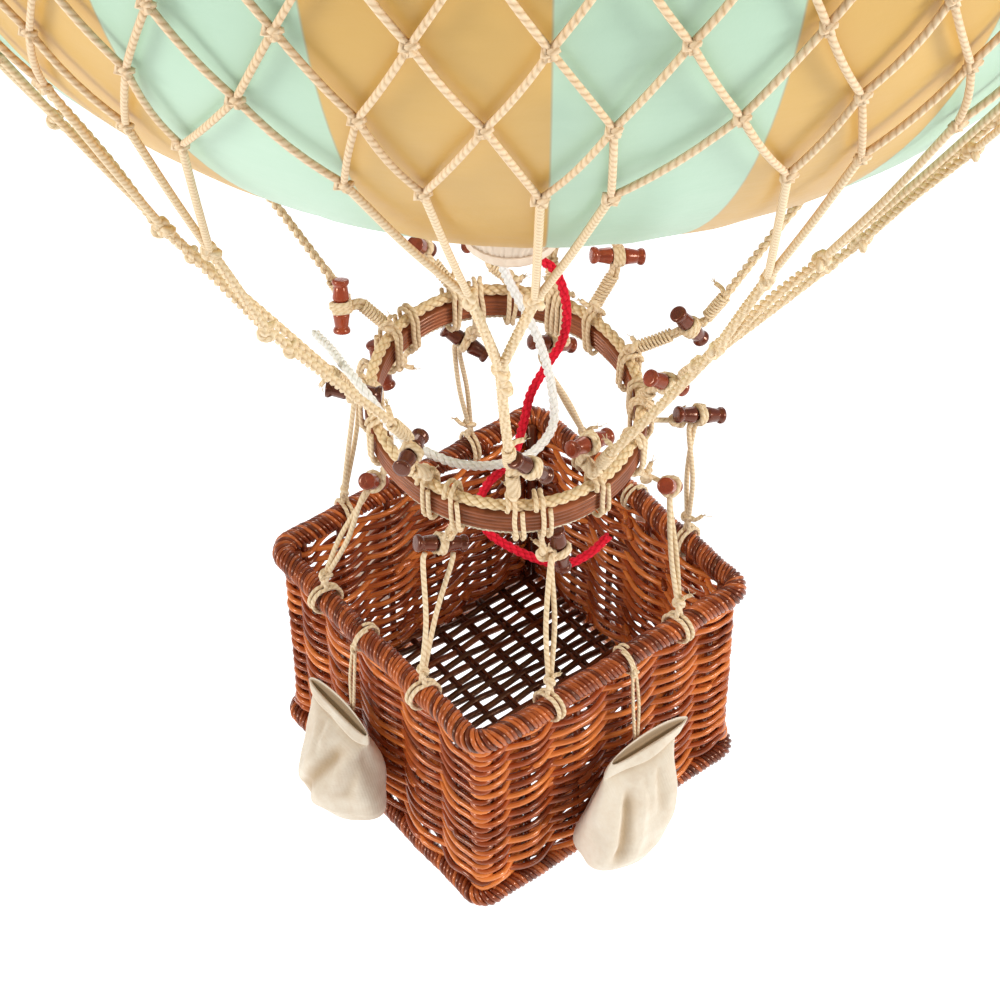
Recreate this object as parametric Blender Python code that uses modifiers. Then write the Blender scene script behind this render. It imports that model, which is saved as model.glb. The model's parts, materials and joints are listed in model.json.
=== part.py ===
"""A decorative model hot air balloon on its hanging eye, built piece by piece in metres, +Z up.

The origin is where a hook bears inside the brass eye at the crown. The envelope's axis is the Z axis. The load ring
and the basket hang a little to one side of it, as their hand-tied lines leave them.
"""

from math import cos, pi, radians, sin, sqrt

import bmesh
import bpy
from mathutils import Matrix, Vector

GAP = 0.0003
# Distances under which points are taken as one: on a swept or turned solid, and on the result of a union or a cut
WELD = 0.00001
FINE_WELD = 0.0000001

# Envelope
ENVELOPE_RADIUS = 0.160
ENVELOPE_CENTRE_Z = -0.174
ENVELOPE_WALL = 0.010
ENVELOPE_STEPS = 40
TAPER_START_DEG = -50
NECK_RADIUS = 0.0115
NECK_HOLE_RADIUS = 0.0085
NECK_Z = -0.372
NECK_SHIFT = Vector((-0.0055, 0.0037, 0))

# Net
NET_CORD_RADIUS = 0.0010
NET_RADIUS = ENVELOPE_RADIUS + NET_CORD_RADIUS + GAP
NET_LOW_DEG = -31
LEG_KNOT_RADIUS = NET_RADIUS + 0.0006
LEG_COUNT = 11
KNOT_OFFSETS_DEG = (-10.8, -4.9, 3.6, 8.7)
FIRST_LEG_DEG = 195.0

# Load ring
LOWER_AXIS = Vector((-0.0064, 0.0052, 0))
RING_Z = -0.4271
RING_RADIUS = 0.0353
RING_SLOPE_X = 0.0494
RING_SLOPE_Y = 0.1792
RING_TOP_ROPE_RADIUS = 0.00125
RING_BAND_HEIGHT = 0.0058
RING_BAND_WALL = 0.0036
RING_FOOT_ROPE_RADIUS = 0.0008
RING_ROPE_GAP = 0.0005
LASHING_RADIUS = 0.0008

# Toggles
TOGGLE_LENGTH = 0.0146
TOGGLE_END_RADIUS = 0.0023
TOGGLE_WAIST_RADIUS = 0.0015
LOOP_RADIUS = 0.0009
APPROACH = 0.0058
PIN_CLEARANCE = 0.0046

# Basket
RIM_Z = -0.4924
RIM_HALF = 0.0463
RIM_RADIUS = 0.0032
FOOT_Z = -0.5588
FOOT_HALF = 0.0461
FOOT_RADIUS = 0.0027
WALL_HALF = 0.0450
WALL_THICKNESS = 0.0030
WALL_CORNER = 0.0060
RAIL_CORNER = 0.0040
FLOOR_THICKNESS = 0.0020
LINE_OFFSET = 0.0225
LINE_RADIUS = 0.0010

# Sandbags
BAG_HEIGHT = 0.036
BAG_CLEARANCE = 0.0028
TWINE_RADIUS = 0.0006

# Loose ropes
ROPE_RADIUS = 0.00125
# A leg's whipped stem, each pair of its cords, one of its cords, and the tie that holds it to the ring
STEM_RADIUS = 0.0013
PAIR_RADIUS = 0.0012
STRAND_RADIUS = 0.0011
TIE_RADIUS = 0.0014

# Each upper toggle: bearing round the ring, distance from the ring's axis, height over the ring, bearing of its
# lashing, and the way the pin lies
UPPER_TOGGLES = [
    (8, 0.0425, 0.018, 11, (0.88, -0.41, -0.22)),
    (33, 0.0410, 0.0155, 31, (0.80, -0.55, -0.25)),
    (59, 0.0410, 0.009, 49, (0.87, -0.14, -0.47)),
    (82, 0.0445, 0.010, 76, (0.61, 0.40, -0.68)),
    (121, 0.0460, 0.0105, 113, (-0.24, -0.30, -0.92)),
    (155, 0.0400, 0.0080, 146, (0.74, -0.68, -0.09)),
    (201, 0.0455, 0.021, 198, (-0.83, -0.55, 0.08)),
    (240, 0.0425, 0.021, 235, (0.67, -0.06, -0.74)),
    (265, 0.0380, 0.019, 272, (0.94, 0.12, -0.31)),
    (316, 0.0415, 0.011, 318, (0.77, -0.06, -0.63)),
    (338, 0.0500, 0.012, 344, (0.54, -0.11, -0.83)),
]
# How far a leg's joins lie off the straight way to its toggle, by the leg's number
LEG_BENDS = {
    1: (-0.0039, 0.0013, -0.0015),
    2: (-0.0050, 0.0031, -0.0009),
    4: (0.0000, -0.0032, -0.0026),
    5: (0.0002, -0.0028, -0.0022),
}
# How far a leg's stem lies off that way just before the toggle
STEM_SHIFTS = {
    1: (-0.0026, 0.0004, -0.0012),
}
# The leg whose stem comes down behind its upright toggle, and the side of the pin that it lies on
UPRIGHT_LEG = 11
UPRIGHT_SIDE = (0.75, 0.65, 0.0)
# Each lower toggle: the same five values, then the rim side and the end of it where its line is tied
LOWER_TOGGLES = [
    (34, 0.0410, -0.0220, 26, (0.88, -0.19, -0.44), "right", 1),
    (68, 0.0410, -0.0235, 65, (0.49, -0.63, -0.49), "back", 1),
    (103, 0.0440, -0.0210, 100, (0.09, -0.28, -0.96), "back", -1),
    (153, 0.0360, -0.0260, 164, (0.61, 0.40, -0.68), "left", 1),
    (202, 0.0345, -0.0210, 210, (0.90, -0.27, -0.34), "left", -1),
    (255, 0.0345, -0.0190, 246, (0.12, -0.09, -0.99), "front", -1),
    (312, 0.0440, -0.0220, 300, (0.61, 0.40, -0.68), "front", 1),
    (330, 0.0520, -0.0120, 328, (0.90, -0.27, -0.34), "right", -1),
]
SIDES = {
    "front": (Vector((0, -1, 0)), Vector((1, 0, 0))),
    "right": (Vector((1, 0, 0)), Vector((0, 1, 0))),
    "back": (Vector((0, 1, 0)), Vector((1, 0, 0))),
    "left": (Vector((-1, 0, 0)), Vector((0, 1, 0))),
}
# Each sandbag's drop of its mouth below the rim, then the places along the side of its twine, its mouth and its foot
SANDBAGS = {
    "front": (0.0250, 0.0035, 0.0040, -0.0070),
    "right": (0.0140, 0.0000, -0.0040, -0.0030),
    "back": (0.0180, 0.0010, 0.0030, 0.0010),
    "left": (0.0200, 0.0035, 0.0070, 0.0015),
}
# A pouch's cross-sections from its mouth to its foot: the share of its height, half its width and half its depth
BAG_SECTIONS = [
    (0.00, 0.0125, 0.0018), (0.03, 0.0138, 0.0026), (0.07, 0.0135, 0.0026), (0.11, 0.0128, 0.0022),
    (0.16, 0.0136, 0.0036), (0.32, 0.0142, 0.0068), (0.55, 0.0140, 0.0096), (0.78, 0.0134, 0.0106),
    (0.92, 0.0118, 0.0094), (1.00, 0.0085, 0.0065),
]
TIE_SECTION = 3
BAG_STEPS = 16
WHITE_ROUTE = [
    (-0.0082, 0.0044, -0.3762), (-0.0080, 0.0046, -0.3820), (-0.0062, 0.0036, -0.3890), (-0.0044, 0.0001, -0.3963),
    (-0.0020, -0.0033, -0.4067), (-0.0010, -0.0066, -0.4187), (-0.0030, -0.0099, -0.4293), (-0.0108, -0.0104, -0.4345),
    (-0.0204, -0.0080, -0.4345), (-0.0286, -0.0038, -0.4325), (-0.0346, 0.0012, -0.4288), (-0.0404, 0.0064, -0.4229),
    (-0.0440, 0.0070, -0.4154), (-0.0467, 0.0086, -0.4086), (-0.0470, 0.0145, -0.4059), (-0.0453, 0.0233, -0.4069),
    (-0.0433, 0.0307, -0.4087), (-0.0417, 0.0399, -0.4106),
]
RED_ROUTE = [
    (-0.0012, 0.0012, -0.3762), (-0.0006, 0.0010, -0.3815), (0.0036, -0.0011, -0.3860), (0.0052, -0.0033, -0.3920),
    (0.0059, -0.0042, -0.4006), (0.0051, -0.0034, -0.4093), (0.0015, -0.0019, -0.4165), (-0.0034, -0.0012, -0.4243),
    (-0.0066, -0.0023, -0.4316), (-0.0098, -0.0015, -0.4430), (-0.0152, 0.0022, -0.4520), (-0.0182, 0.0026, -0.4590),
    (-0.0189, -0.0020, -0.4640), (-0.0162, -0.0085, -0.4668), (-0.0117, -0.0156, -0.4689), (-0.0078, -0.0217, -0.4681),
    (-0.0028, -0.0255, -0.4641), (0.0019, -0.0274, -0.4591),
]

for old in list(bpy.data.objects):
    bpy.data.objects.remove(old, do_unlink=True)
parts = bpy.data.collections.new("hot_air_balloon")
bpy.context.scene.collection.children.link(parts)


def material(name, colour, roughness, metallic=0.0):
    made = bpy.data.materials.new(name)
    made.use_nodes = True
    shader = made.node_tree.nodes["Principled BSDF"]
    shader.inputs["Base Color"].default_value = (*colour, 1.0)
    shader.inputs["Roughness"].default_value = roughness
    shader.inputs["Metallic"].default_value = metallic
    return made


PAPER = material("envelope_paper", (0.54, 0.74, 0.61), 0.45)
CREAM = material("neck_cream", (0.84, 0.76, 0.62), 0.6)
CORD = material("net_cord", (0.75, 0.58, 0.36), 0.9)
RATTAN = material("ring_rattan", (0.10, 0.035, 0.02), 0.4)
TURNED = material("toggle_wood", (0.12, 0.03, 0.02), 0.3)
WICKER = material("basket_wicker", (0.35, 0.10, 0.03), 0.3)
CANVAS = material("sandbag_canvas", (0.78, 0.71, 0.58), 0.95)
WHITE = material("white_rope", (0.85, 0.83, 0.78), 0.9)
RED = material("red_rope", (0.70, 0.01, 0.04), 0.8)
BRASS = material("eye_brass", (0.72, 0.50, 0.20), 0.3, 1.0)


def keep(mesh, name, look):
    """Puts a finished mesh in the model under its own name and material."""
    piece = bpy.data.objects.new(name, mesh)
    mesh.name = name
    mesh.materials.clear()
    mesh.materials.append(look)
    mesh.shade_smooth()
    mesh.set_sharp_from_angle(angle=radians(40))
    parts.objects.link(piece)
    return piece


def evaluated(source, weld=WELD, matrix=Matrix()):
    """The mesh of an object with its modifiers, moved by a matrix, its caps welded; the object is then removed."""
    bpy.context.scene.collection.objects.link(source)
    bpy.context.view_layer.update()
    mesh = bpy.data.meshes.new_from_object(source.evaluated_get(bpy.context.evaluated_depsgraph_get()))
    mesh.transform(matrix @ source.matrix_world)
    body = bmesh.new()
    body.from_mesh(mesh)
    bmesh.ops.remove_doubles(body, verts=body.verts, dist=weld)
    bmesh.ops.recalc_face_normals(body, faces=body.faces)
    body.to_mesh(mesh)
    body.free()
    bpy.data.objects.remove(source, do_unlink=True)
    return mesh


def tube(points, radius, closed=False, resolution=0, radii=None):
    """A round cord along the points, as a closed mesh."""
    curve = bpy.data.curves.new("cord", "CURVE")
    curve.dimensions = "3D"
    curve.bevel_depth = radius
    curve.bevel_resolution = resolution
    curve.use_fill_caps = not closed
    curve.twist_mode = "MINIMUM"
    spline = curve.splines.new("POLY")
    spline.points.add(len(points) - 1)
    for index, place in enumerate(points):
        spline.points[index].co = (*place, 1)
        spline.points[index].radius = radii[index] if radii else 1
    spline.use_cyclic_u = closed
    return evaluated(bpy.data.objects.new("cord", curve))


def turned(outline, steps, matrix=Matrix()):
    """A turned solid from an outline of (radius, height) that runs down its outer side."""
    mesh = bpy.data.meshes.new("outline")
    mesh.from_pydata([(r, 0, z) for r, z in outline], [(i, i + 1) for i in range(len(outline) - 1)], [])
    source = bpy.data.objects.new("turned", mesh)
    spin = source.modifiers.new("Screw", "SCREW")
    spin.steps = spin.render_steps = steps
    spin.use_merge_vertices = True
    spin.merge_threshold = WELD
    return evaluated(source, matrix=matrix)


def fused(meshes):
    """The union of several closed meshes."""
    base = bpy.data.objects.new("base", meshes[0])
    others = bpy.data.collections.new("others")
    for mesh in meshes[1:]:
        others.objects.link(bpy.data.objects.new("other", mesh))
    union = base.modifiers.new("Union", "BOOLEAN")
    union.operation = "UNION"
    union.operand_type = "COLLECTION"
    union.collection = others
    mesh = evaluated(base, FINE_WELD)
    for other in list(others.objects):
        bpy.data.objects.remove(other, do_unlink=True)
    bpy.data.collections.remove(others)
    return mesh


def smooth_route(route, spacing):
    """Points along a smooth curve through the route's own points, one about every spacing."""
    points = [Vector(place) for place in route]
    ends = [points[0] * 2 - points[1], *points, points[-1] * 2 - points[-2]]
    fine = []
    for i in range(1, len(ends) - 2):
        a, b, c, d = ends[i - 1], ends[i], ends[i + 1], ends[i + 2]
        count = max(1, round((c - b).length / spacing))
        for step in range(count):
            t = step / count
            fine.append(0.5 * (2 * b + (c - a) * t + (2 * a - 5 * b + 4 * c - d) * t**2 + (3 * b - a - 3 * c + d) * t**3))
    fine.append(points[-1])
    return fine


def rounded_square(half, corner, z, corner_steps=4):
    """Points of a rounded square about the basket's axis."""
    points = []
    for quarter in range(4):
        turn = quarter * pi / 2
        centre = Vector((half - corner, half - corner, 0))
        for step in range(corner_steps + 1):
            angle = step / corner_steps * pi / 2
            place = centre + Vector((cos(angle), sin(angle), 0)) * corner
            points.append(Matrix.Rotation(turn, 3, "Z") @ place + LOWER_AXIS + Vector((0, 0, z)))
    return points


def turn_to(direction):
    """A rotation that takes +Z to a direction."""
    return direction.to_track_quat("Z", "Y").to_matrix().to_4x4()


def ring_place(bearing_deg, distance, height):
    """A point by its bearing round the tilted load ring, its distance from the ring's axis and its height over it."""
    angle = radians(bearing_deg)
    place = Vector((distance * cos(angle), distance * sin(angle), 0))
    rise = RING_SLOPE_X * place.x + RING_SLOPE_Y * place.y
    return LOWER_AXIS + place + Vector((0, 0, RING_Z + rise + height))


def loop_points(centre, across, up, half_width, half_height, count):
    return [
        centre + across * half_width * cos(2 * pi * i / count) + up * half_height * sin(2 * pi * i / count)
        for i in range(count)
    ]


# Envelope: a shell turned from the crown to the neck, whose lower cone is drawn over towards the ring
def envelope_outline():
    start = radians(TAPER_START_DEG)
    outer = [
        (ENVELOPE_RADIUS * cos(a), ENVELOPE_CENTRE_Z + ENVELOPE_RADIUS * sin(a))
        for a in [pi / 2 + (start - pi / 2) * i / 16 for i in range(17)]
    ]
    outer[0] = (0, outer[0][1])
    r0, z0 = outer[-1]
    handle_0 = (r0 + 0.045 * sin(start), z0 - 0.045 * cos(start))
    handle_1 = (NECK_RADIUS, NECK_Z + 0.010)
    for i in range(1, 7):
        t = i / 6
        weights = ((1 - t) ** 3, 3 * t * (1 - t) ** 2, 3 * t**2 * (1 - t), t**3)
        radius = sum(w * r for w, r in zip(weights, (r0, handle_0[0], handle_1[0], NECK_RADIUS)))
        height = sum(w * z for w, z in zip(weights, (z0, handle_0[1], handle_1[1], NECK_Z)))
        outer.append((radius, height))
    inner_radius = ENVELOPE_RADIUS - ENVELOPE_WALL
    inner = [(NECK_HOLE_RADIUS, NECK_Z), (NECK_HOLE_RADIUS, NECK_Z + 0.026)]
    inner += [
        (inner_radius * cos(a), ENVELOPE_CENTRE_Z + inner_radius * sin(a))
        for a in [start + (pi / 2 - start) * i / 9 for i in range(10)]
    ]
    inner[-1] = (0, inner[-1][1])
    return outer + inner


def lean_neck(place):
    """How far a point of the lower cone is drawn sideways, from nothing at the taper's start to the neck's shift."""
    top = ENVELOPE_CENTRE_Z + ENVELOPE_RADIUS * sin(radians(TAPER_START_DEG))
    share = min(1, max(0, (top - place.z) / (top - NECK_Z)))
    return NECK_SHIFT * share


envelope = turned(envelope_outline(), ENVELOPE_STEPS)
for vertex in envelope.vertices:
    vertex.co += lean_neck(vertex.co)
keep(envelope, "envelope", PAPER)

# Neck cap: a turned cream plug that closes the neck
CAP_PLUG_LENGTH = 0.004
CAP_THICKNESS = 0.0035
cap_top = NECK_Z - GAP
keep(
    turned(
        [
            (0, cap_top + CAP_PLUG_LENGTH),
            (NECK_HOLE_RADIUS - 0.0012, cap_top + CAP_PLUG_LENGTH),
            (NECK_HOLE_RADIUS - 0.0008, cap_top),
            (NECK_RADIUS + 0.0004, cap_top),
            (NECK_RADIUS + 0.0004, cap_top - 0.0022),
            (NECK_RADIUS - 0.0008, cap_top - CAP_THICKNESS),
            (0, cap_top - CAP_THICKNESS),
        ],
        24,
        Matrix.Translation(NECK_SHIFT),
    ),
    "neck_cap",
    CREAM,
)

# Crown: a button on the envelope's top, a rope ring that the net hangs from, and the brass hanging eye
EYE_RADIUS = 0.0050
EYE_WIRE = 0.0009
BUTTON_RADIUS = 0.0090
button_foot = ENVELOPE_CENTRE_Z + ENVELOPE_RADIUS + GAP
keep(
    turned(
        [
            (0, button_foot + 0.0022),
            (0.0062, button_foot + 0.0020),
            (BUTTON_RADIUS, button_foot + 0.0010),
            (BUTTON_RADIUS, button_foot),
            (0, button_foot),
        ],
        24,
    ),
    "crown_button",
    TURNED,
)
eye_centre = Vector((0, 0, -(EYE_RADIUS - EYE_WIRE)))
shank_foot = Vector((0, 0, button_foot + 0.0022 + GAP))
keep(
    fused(
        [
            tube(loop_points(eye_centre, Vector((1, 0, 0)), Vector((0, 0, 1)), EYE_RADIUS, EYE_RADIUS, 16), EYE_WIRE, True, 1),
            tube([eye_centre - Vector((0, 0, EYE_RADIUS - 0.0002)), shank_foot], 0.0012, resolution=1),
        ]
    ),
    "hanging_eye",
    BRASS,
)
CROWN_ROPE_RADIUS = 0.0016
CROWN_RING_RADIUS = 0.0165
crown_reach = ENVELOPE_RADIUS + CROWN_ROPE_RADIUS + GAP
crown_z = ENVELOPE_CENTRE_Z + sqrt(crown_reach**2 - CROWN_RING_RADIUS**2)
crown_loop = loop_points(
    Vector((0, 0, crown_z)), Vector((1, 0, 0)), Vector((0, 1, 0)), CROWN_RING_RADIUS, CROWN_RING_RADIUS, 24
)
keep(tube(crown_loop, CROWN_ROPE_RADIUS, True, 1), "crown_rope", CORD)

# Load ring: a tall rattan band between a thick rope above and a thin one below
band_top = -RING_TOP_ROPE_RADIUS - RING_ROPE_GAP
band_foot = band_top - RING_BAND_HEIGHT
foot_rope_height = band_foot - RING_ROPE_GAP - RING_FOOT_ROPE_RADIUS
ring_slope = Matrix.Identity(4)
ring_slope[2][0] = RING_SLOPE_X
ring_slope[2][1] = RING_SLOPE_Y
ring_frame = Matrix.Translation(LOWER_AXIS + Vector((0, 0, RING_Z))) @ ring_slope
band_outer = RING_RADIUS + RING_BAND_WALL / 2
band_inner = RING_RADIUS - RING_BAND_WALL / 2
band_outline = [
    (band_inner, band_top),
    (band_outer, band_top),
    (band_outer, band_foot),
    (band_inner, band_foot),
    (band_inner, band_top),
]
keep(turned(band_outline, 48, ring_frame), "ring_band", RATTAN)
for name, height, radius in (
    ("ring_top_rope", 0.0, RING_TOP_ROPE_RADIUS),
    ("ring_foot_rope", foot_rope_height, RING_FOOT_ROPE_RADIUS),
):
    course = [ring_place(i * 10, RING_RADIUS, height) for i in range(36)]
    keep(tube(course, radius, True, 1), name, CORD)


LASHING_REACH = RING_BAND_WALL / 2 + GAP + LASHING_RADIUS


def ring_lashing(bearing_deg):
    """The cord loop that goes round the whole load ring at one bearing: round its top rope, down past the band and
    round its foot rope."""
    centre = ring_place(bearing_deg, RING_RADIUS, 0)
    across = Vector((cos(radians(bearing_deg)), sin(radians(bearing_deg)), 0))
    top_reach = LASHING_REACH / cos(pi / 12)
    foot_reach = (RING_FOOT_ROPE_RADIUS + GAP + LASHING_RADIUS) / cos(pi / 8)
    course = [(top_reach * cos(i * pi / 6), top_reach * sin(i * pi / 6)) for i in range(7)]
    course.append((-top_reach, band_foot - RING_ROPE_GAP))
    course += [
        (-foot_reach * cos(i * pi / 4), foot_rope_height - foot_reach * sin(i * pi / 4)) for i in range(5)
    ]
    course.append((top_reach, band_foot - RING_ROPE_GAP))
    points = [centre + across * out + Vector((0, 0, height)) for out, height in course]
    return tube(points, LASHING_RADIUS, True)


# Toggles: turned wooden pins that couple the net's legs and the basket's lines to the ring
TOGGLE_OUTLINE = [
    (0.0, 0.5), (1.0, 0.47), (0.80, 0.37), (0.98, 0.16), (0.65, 0.09),
    (0.65, -0.09), (0.98, -0.16), (0.80, -0.37), (1.0, -0.47), (0.0, -0.5),
]


def toggle(name, place, axis):
    outline = [(r * TOGGLE_END_RADIUS, h * TOGGLE_LENGTH) for r, h in TOGGLE_OUTLINE]
    keep(turned(outline, 8, Matrix.Translation(place) @ turn_to(axis)), name, TURNED)


def waist_loop(place, axis, radius):
    """A cord loop round a toggle's waist."""
    side = axis.orthogonal().normalized()
    reach = TOGGLE_WAIST_RADIUS + GAP + radius
    return tube(loop_points(place, side, side.cross(axis), reach, reach, 8), radius, True)


def waist_way(place, axis, radius, target):
    """Two points of a cord on its way in to that loop, square to the toggle: clear of the pin's flares, then on the
    loop's middle line, on the side that faces a target."""
    way = target - place
    way -= axis * way.dot(axis)
    away = way.normalized()
    distance = min(APPROACH, max(PIN_CLEARANCE, 0.7 * way.length))
    return [place + away * distance, place + away * (TOGGLE_WAIST_RADIUS + GAP + radius)]


# Net legs: four knots of the net's edge gather in pairs, then in one whipped stem, tied to a toggle over the ring
def net_place(bearing_deg, elevation_deg, radius=NET_RADIUS):
    a, e = radians(bearing_deg), radians(elevation_deg)
    return Vector((radius * cos(e) * cos(a), radius * cos(e) * sin(a), ENVELOPE_CENTRE_Z + radius * sin(e)))


def past(start, end):
    """A point a little beyond the end of a cord, inside the one that it joins."""
    return end + (end - start).normalized() * JOIN_DEPTH


JOIN_DEPTH = 0.0006
PAIR_SHARE = 0.31
GATHER_SHARE = 0.56
for leg in range(LEG_COUNT):
    centre_deg = FIRST_LEG_DEG + 360 / LEG_COUNT * (leg - 1)
    bend = Vector(LEG_BENDS.get(leg + 1, (0, 0, 0)))
    bearing, distance, height, lashing_deg, lie = UPPER_TOGGLES[(leg + 5) % LEG_COUNT]
    top = ring_place(bearing, distance, height)
    axis = Vector(lie).normalized()
    toggle(f"upper_toggle_{leg + 1:02d}", top, axis)
    knots = [net_place(centre_deg + offset, NET_LOW_DEG, LEG_KNOT_RADIUS) for offset in KNOT_OFFSETS_DEG]
    middle = net_place(centre_deg, NET_LOW_DEG)
    pairs = [((knots[0] + knots[1]) / 2).lerp(top, PAIR_SHARE), ((knots[2] + knots[3]) / 2).lerp(top, PAIR_SHARE)]
    pairs = [place.lerp(middle.lerp(top, PAIR_SHARE), 0.45) + bend * 0.8 for place in pairs]
    gather = middle.lerp(top, GATHER_SHARE) + bend
    target = top + Vector(UPRIGHT_SIDE) if leg + 1 == UPRIGHT_LEG else gather
    near, waist = waist_way(top, axis, LOOP_RADIUS, target)
    stem = [pairs[0], gather, near + Vector(STEM_SHIFTS.get(leg + 1, (0, 0, 0))), waist]
    solids = [tube(stem, STEM_RADIUS, radii=[0.9, 1.0, 1.0, 0.9])]
    solids.append(tube([pairs[1], past(pairs[1], gather)], PAIR_RADIUS))
    for i, knot in enumerate(knots):
        solids.append(tube([knot, past(knot, pairs[i // 2])], STRAND_RADIUS))
    solids.append(waist_loop(top, axis, LOOP_RADIUS))
    lashing_top = ring_place(lashing_deg, RING_RADIUS, LASHING_REACH)
    solids.append(tube([lashing_top, *waist_way(top, axis, LOOP_RADIUS, lashing_top)], TIE_RADIUS))
    solids.append(ring_lashing(lashing_deg))
    keep(fused(solids), f"net_leg_{leg + 1:02d}", CORD)


# Basket: wrapped rim and foot rails, woven walls and floor
def rail(name, half, z, radius):
    keep(tube(rounded_square(half, RAIL_CORNER, z), radius, True, 2), name, WICKER)


rail("basket_rim", RIM_HALF, RIM_Z, RIM_RADIUS)
rail("basket_foot_rail", FOOT_HALF, FOOT_Z, FOOT_RADIUS)


def flat_ring(outer_half, inner_half, low, high):
    """A flat outline between two rounded squares, or one alone, with its thickness."""
    curve = bpy.data.curves.new("outline", "CURVE")
    curve.dimensions = "2D"
    curve.fill_mode = "BOTH"
    curve.extrude = (high - low) / 2
    for half, corner in ((outer_half, WALL_CORNER), (inner_half, WALL_CORNER - WALL_THICKNESS)):
        if half:
            points = rounded_square(half, corner, 0)
            spline = curve.splines.new("POLY")
            spline.points.add(len(points) - 1)
            for index, place in enumerate(points):
                spline.points[index].co = (place.x, place.y, 0, 1)
            spline.use_cyclic_u = True
    source = bpy.data.objects.new("outline", curve)
    source.location = (0, 0, (high + low) / 2)
    return evaluated(source)


wall_top = RIM_Z - RIM_RADIUS - GAP
wall_foot = FOOT_Z + FOOT_RADIUS + GAP
wall = bpy.data.objects.new("wall", flat_ring(WALL_HALF, WALL_HALF - WALL_THICKNESS, wall_foot, wall_top))


def cord_passage(side, place_along, radius):
    """A slot cut through the wall's top edge, where a cord goes round under the rim."""
    normal, along = SIDES[side]
    foot = RIM_Z - RIM_RADIUS - 2 * GAP - 2 * radius
    height = wall_top - foot + GAP
    solid = bmesh.new()
    bmesh.ops.create_cube(solid, size=1)
    size = Vector([
        abs(normal[i]) * 4 * WALL_THICKNESS + abs(along[i]) * 2 * (radius + 2 * GAP) for i in range(2)
    ] + [height])
    bmesh.ops.scale(solid, vec=size, verts=solid.verts)
    bmesh.ops.translate(
        solid, vec=LOWER_AXIS + normal * WALL_HALF + along * place_along + Vector((0, 0, foot + height / 2)),
        verts=solid.verts,
    )
    mesh = bpy.data.meshes.new("passage")
    solid.to_mesh(mesh)
    solid.free()
    cutter = bpy.data.objects.new("passage", mesh)
    bpy.context.scene.collection.objects.link(cutter)
    cut = wall.modifiers.new("Passage", "BOOLEAN")
    cut.operation = "DIFFERENCE"
    cut.object = cutter
    return cutter


passages = [cord_passage(side, sign * LINE_OFFSET, LINE_RADIUS) for side in SIDES for sign in (1, -1)]
passages += [cord_passage(side, bag[1], TWINE_RADIUS) for side, bag in SANDBAGS.items()]
keep(evaluated(wall, FINE_WELD), "basket_wall", WICKER)
for cutter in passages:
    bpy.data.objects.remove(cutter, do_unlink=True)
floor_half = WALL_HALF - WALL_THICKNESS - GAP
keep(flat_ring(floor_half, 0, wall_foot, wall_foot + FLOOR_THICKNESS), "basket_floor", WICKER)

# Basket lines: from each lower toggle down to a loop round the rim
for number, (bearing, distance, height, lashing_deg, lie, side, sign) in enumerate(LOWER_TOGGLES, 1):
    place = ring_place(bearing, distance, height)
    axis = Vector(lie).normalized()
    toggle(f"lower_toggle_{number}", place, axis)
    normal, along = SIDES[side]
    rim = LOWER_AXIS + normal * RIM_HALF + along * sign * LINE_OFFSET + Vector((0, 0, RIM_Z))
    reach = RIM_RADIUS + GAP + LINE_RADIUS
    solids = [tube(loop_points(rim, normal, Vector((0, 0, 1)), reach, reach, 10), LINE_RADIUS, True)]
    rim_top = rim + Vector((0, 0, reach))
    solids.append(tube([rim_top, *waist_way(place, axis, LOOP_RADIUS, rim_top)], LINE_RADIUS))
    solids.append(waist_loop(place, axis, LOOP_RADIUS))
    lashing_foot = ring_place(lashing_deg, RING_RADIUS, foot_rope_height - RING_FOOT_ROPE_RADIUS - GAP - LASHING_RADIUS)
    solids.append(tube([lashing_foot, *waist_way(place, axis, LOOP_RADIUS, lashing_foot)], PAIR_RADIUS))
    solids.append(ring_lashing(lashing_deg))
    keep(fused(solids), f"basket_line_{number}", CORD)

# Sandbags: canvas pouches, round at the foot and flat at the mouth, that swing on a twine loop over the rim
def lofted(rings):
    """A closed solid through rings of points, each with the same count."""
    count = len(rings[0])
    faces = [tuple(range(count)), tuple((len(rings) - 1) * count + i for i in reversed(range(count)))]
    for row in range(len(rings) - 1):
        for i in range(count):
            after = (i + 1) % count
            faces.append((row * count + after, row * count + i, (row + 1) * count + i, (row + 1) * count + after))
    mesh = bpy.data.meshes.new("lofted")
    mesh.from_pydata([place for ring in rings for place in ring], [], faces)
    return evaluated(bpy.data.objects.new("lofted", mesh))


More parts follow.
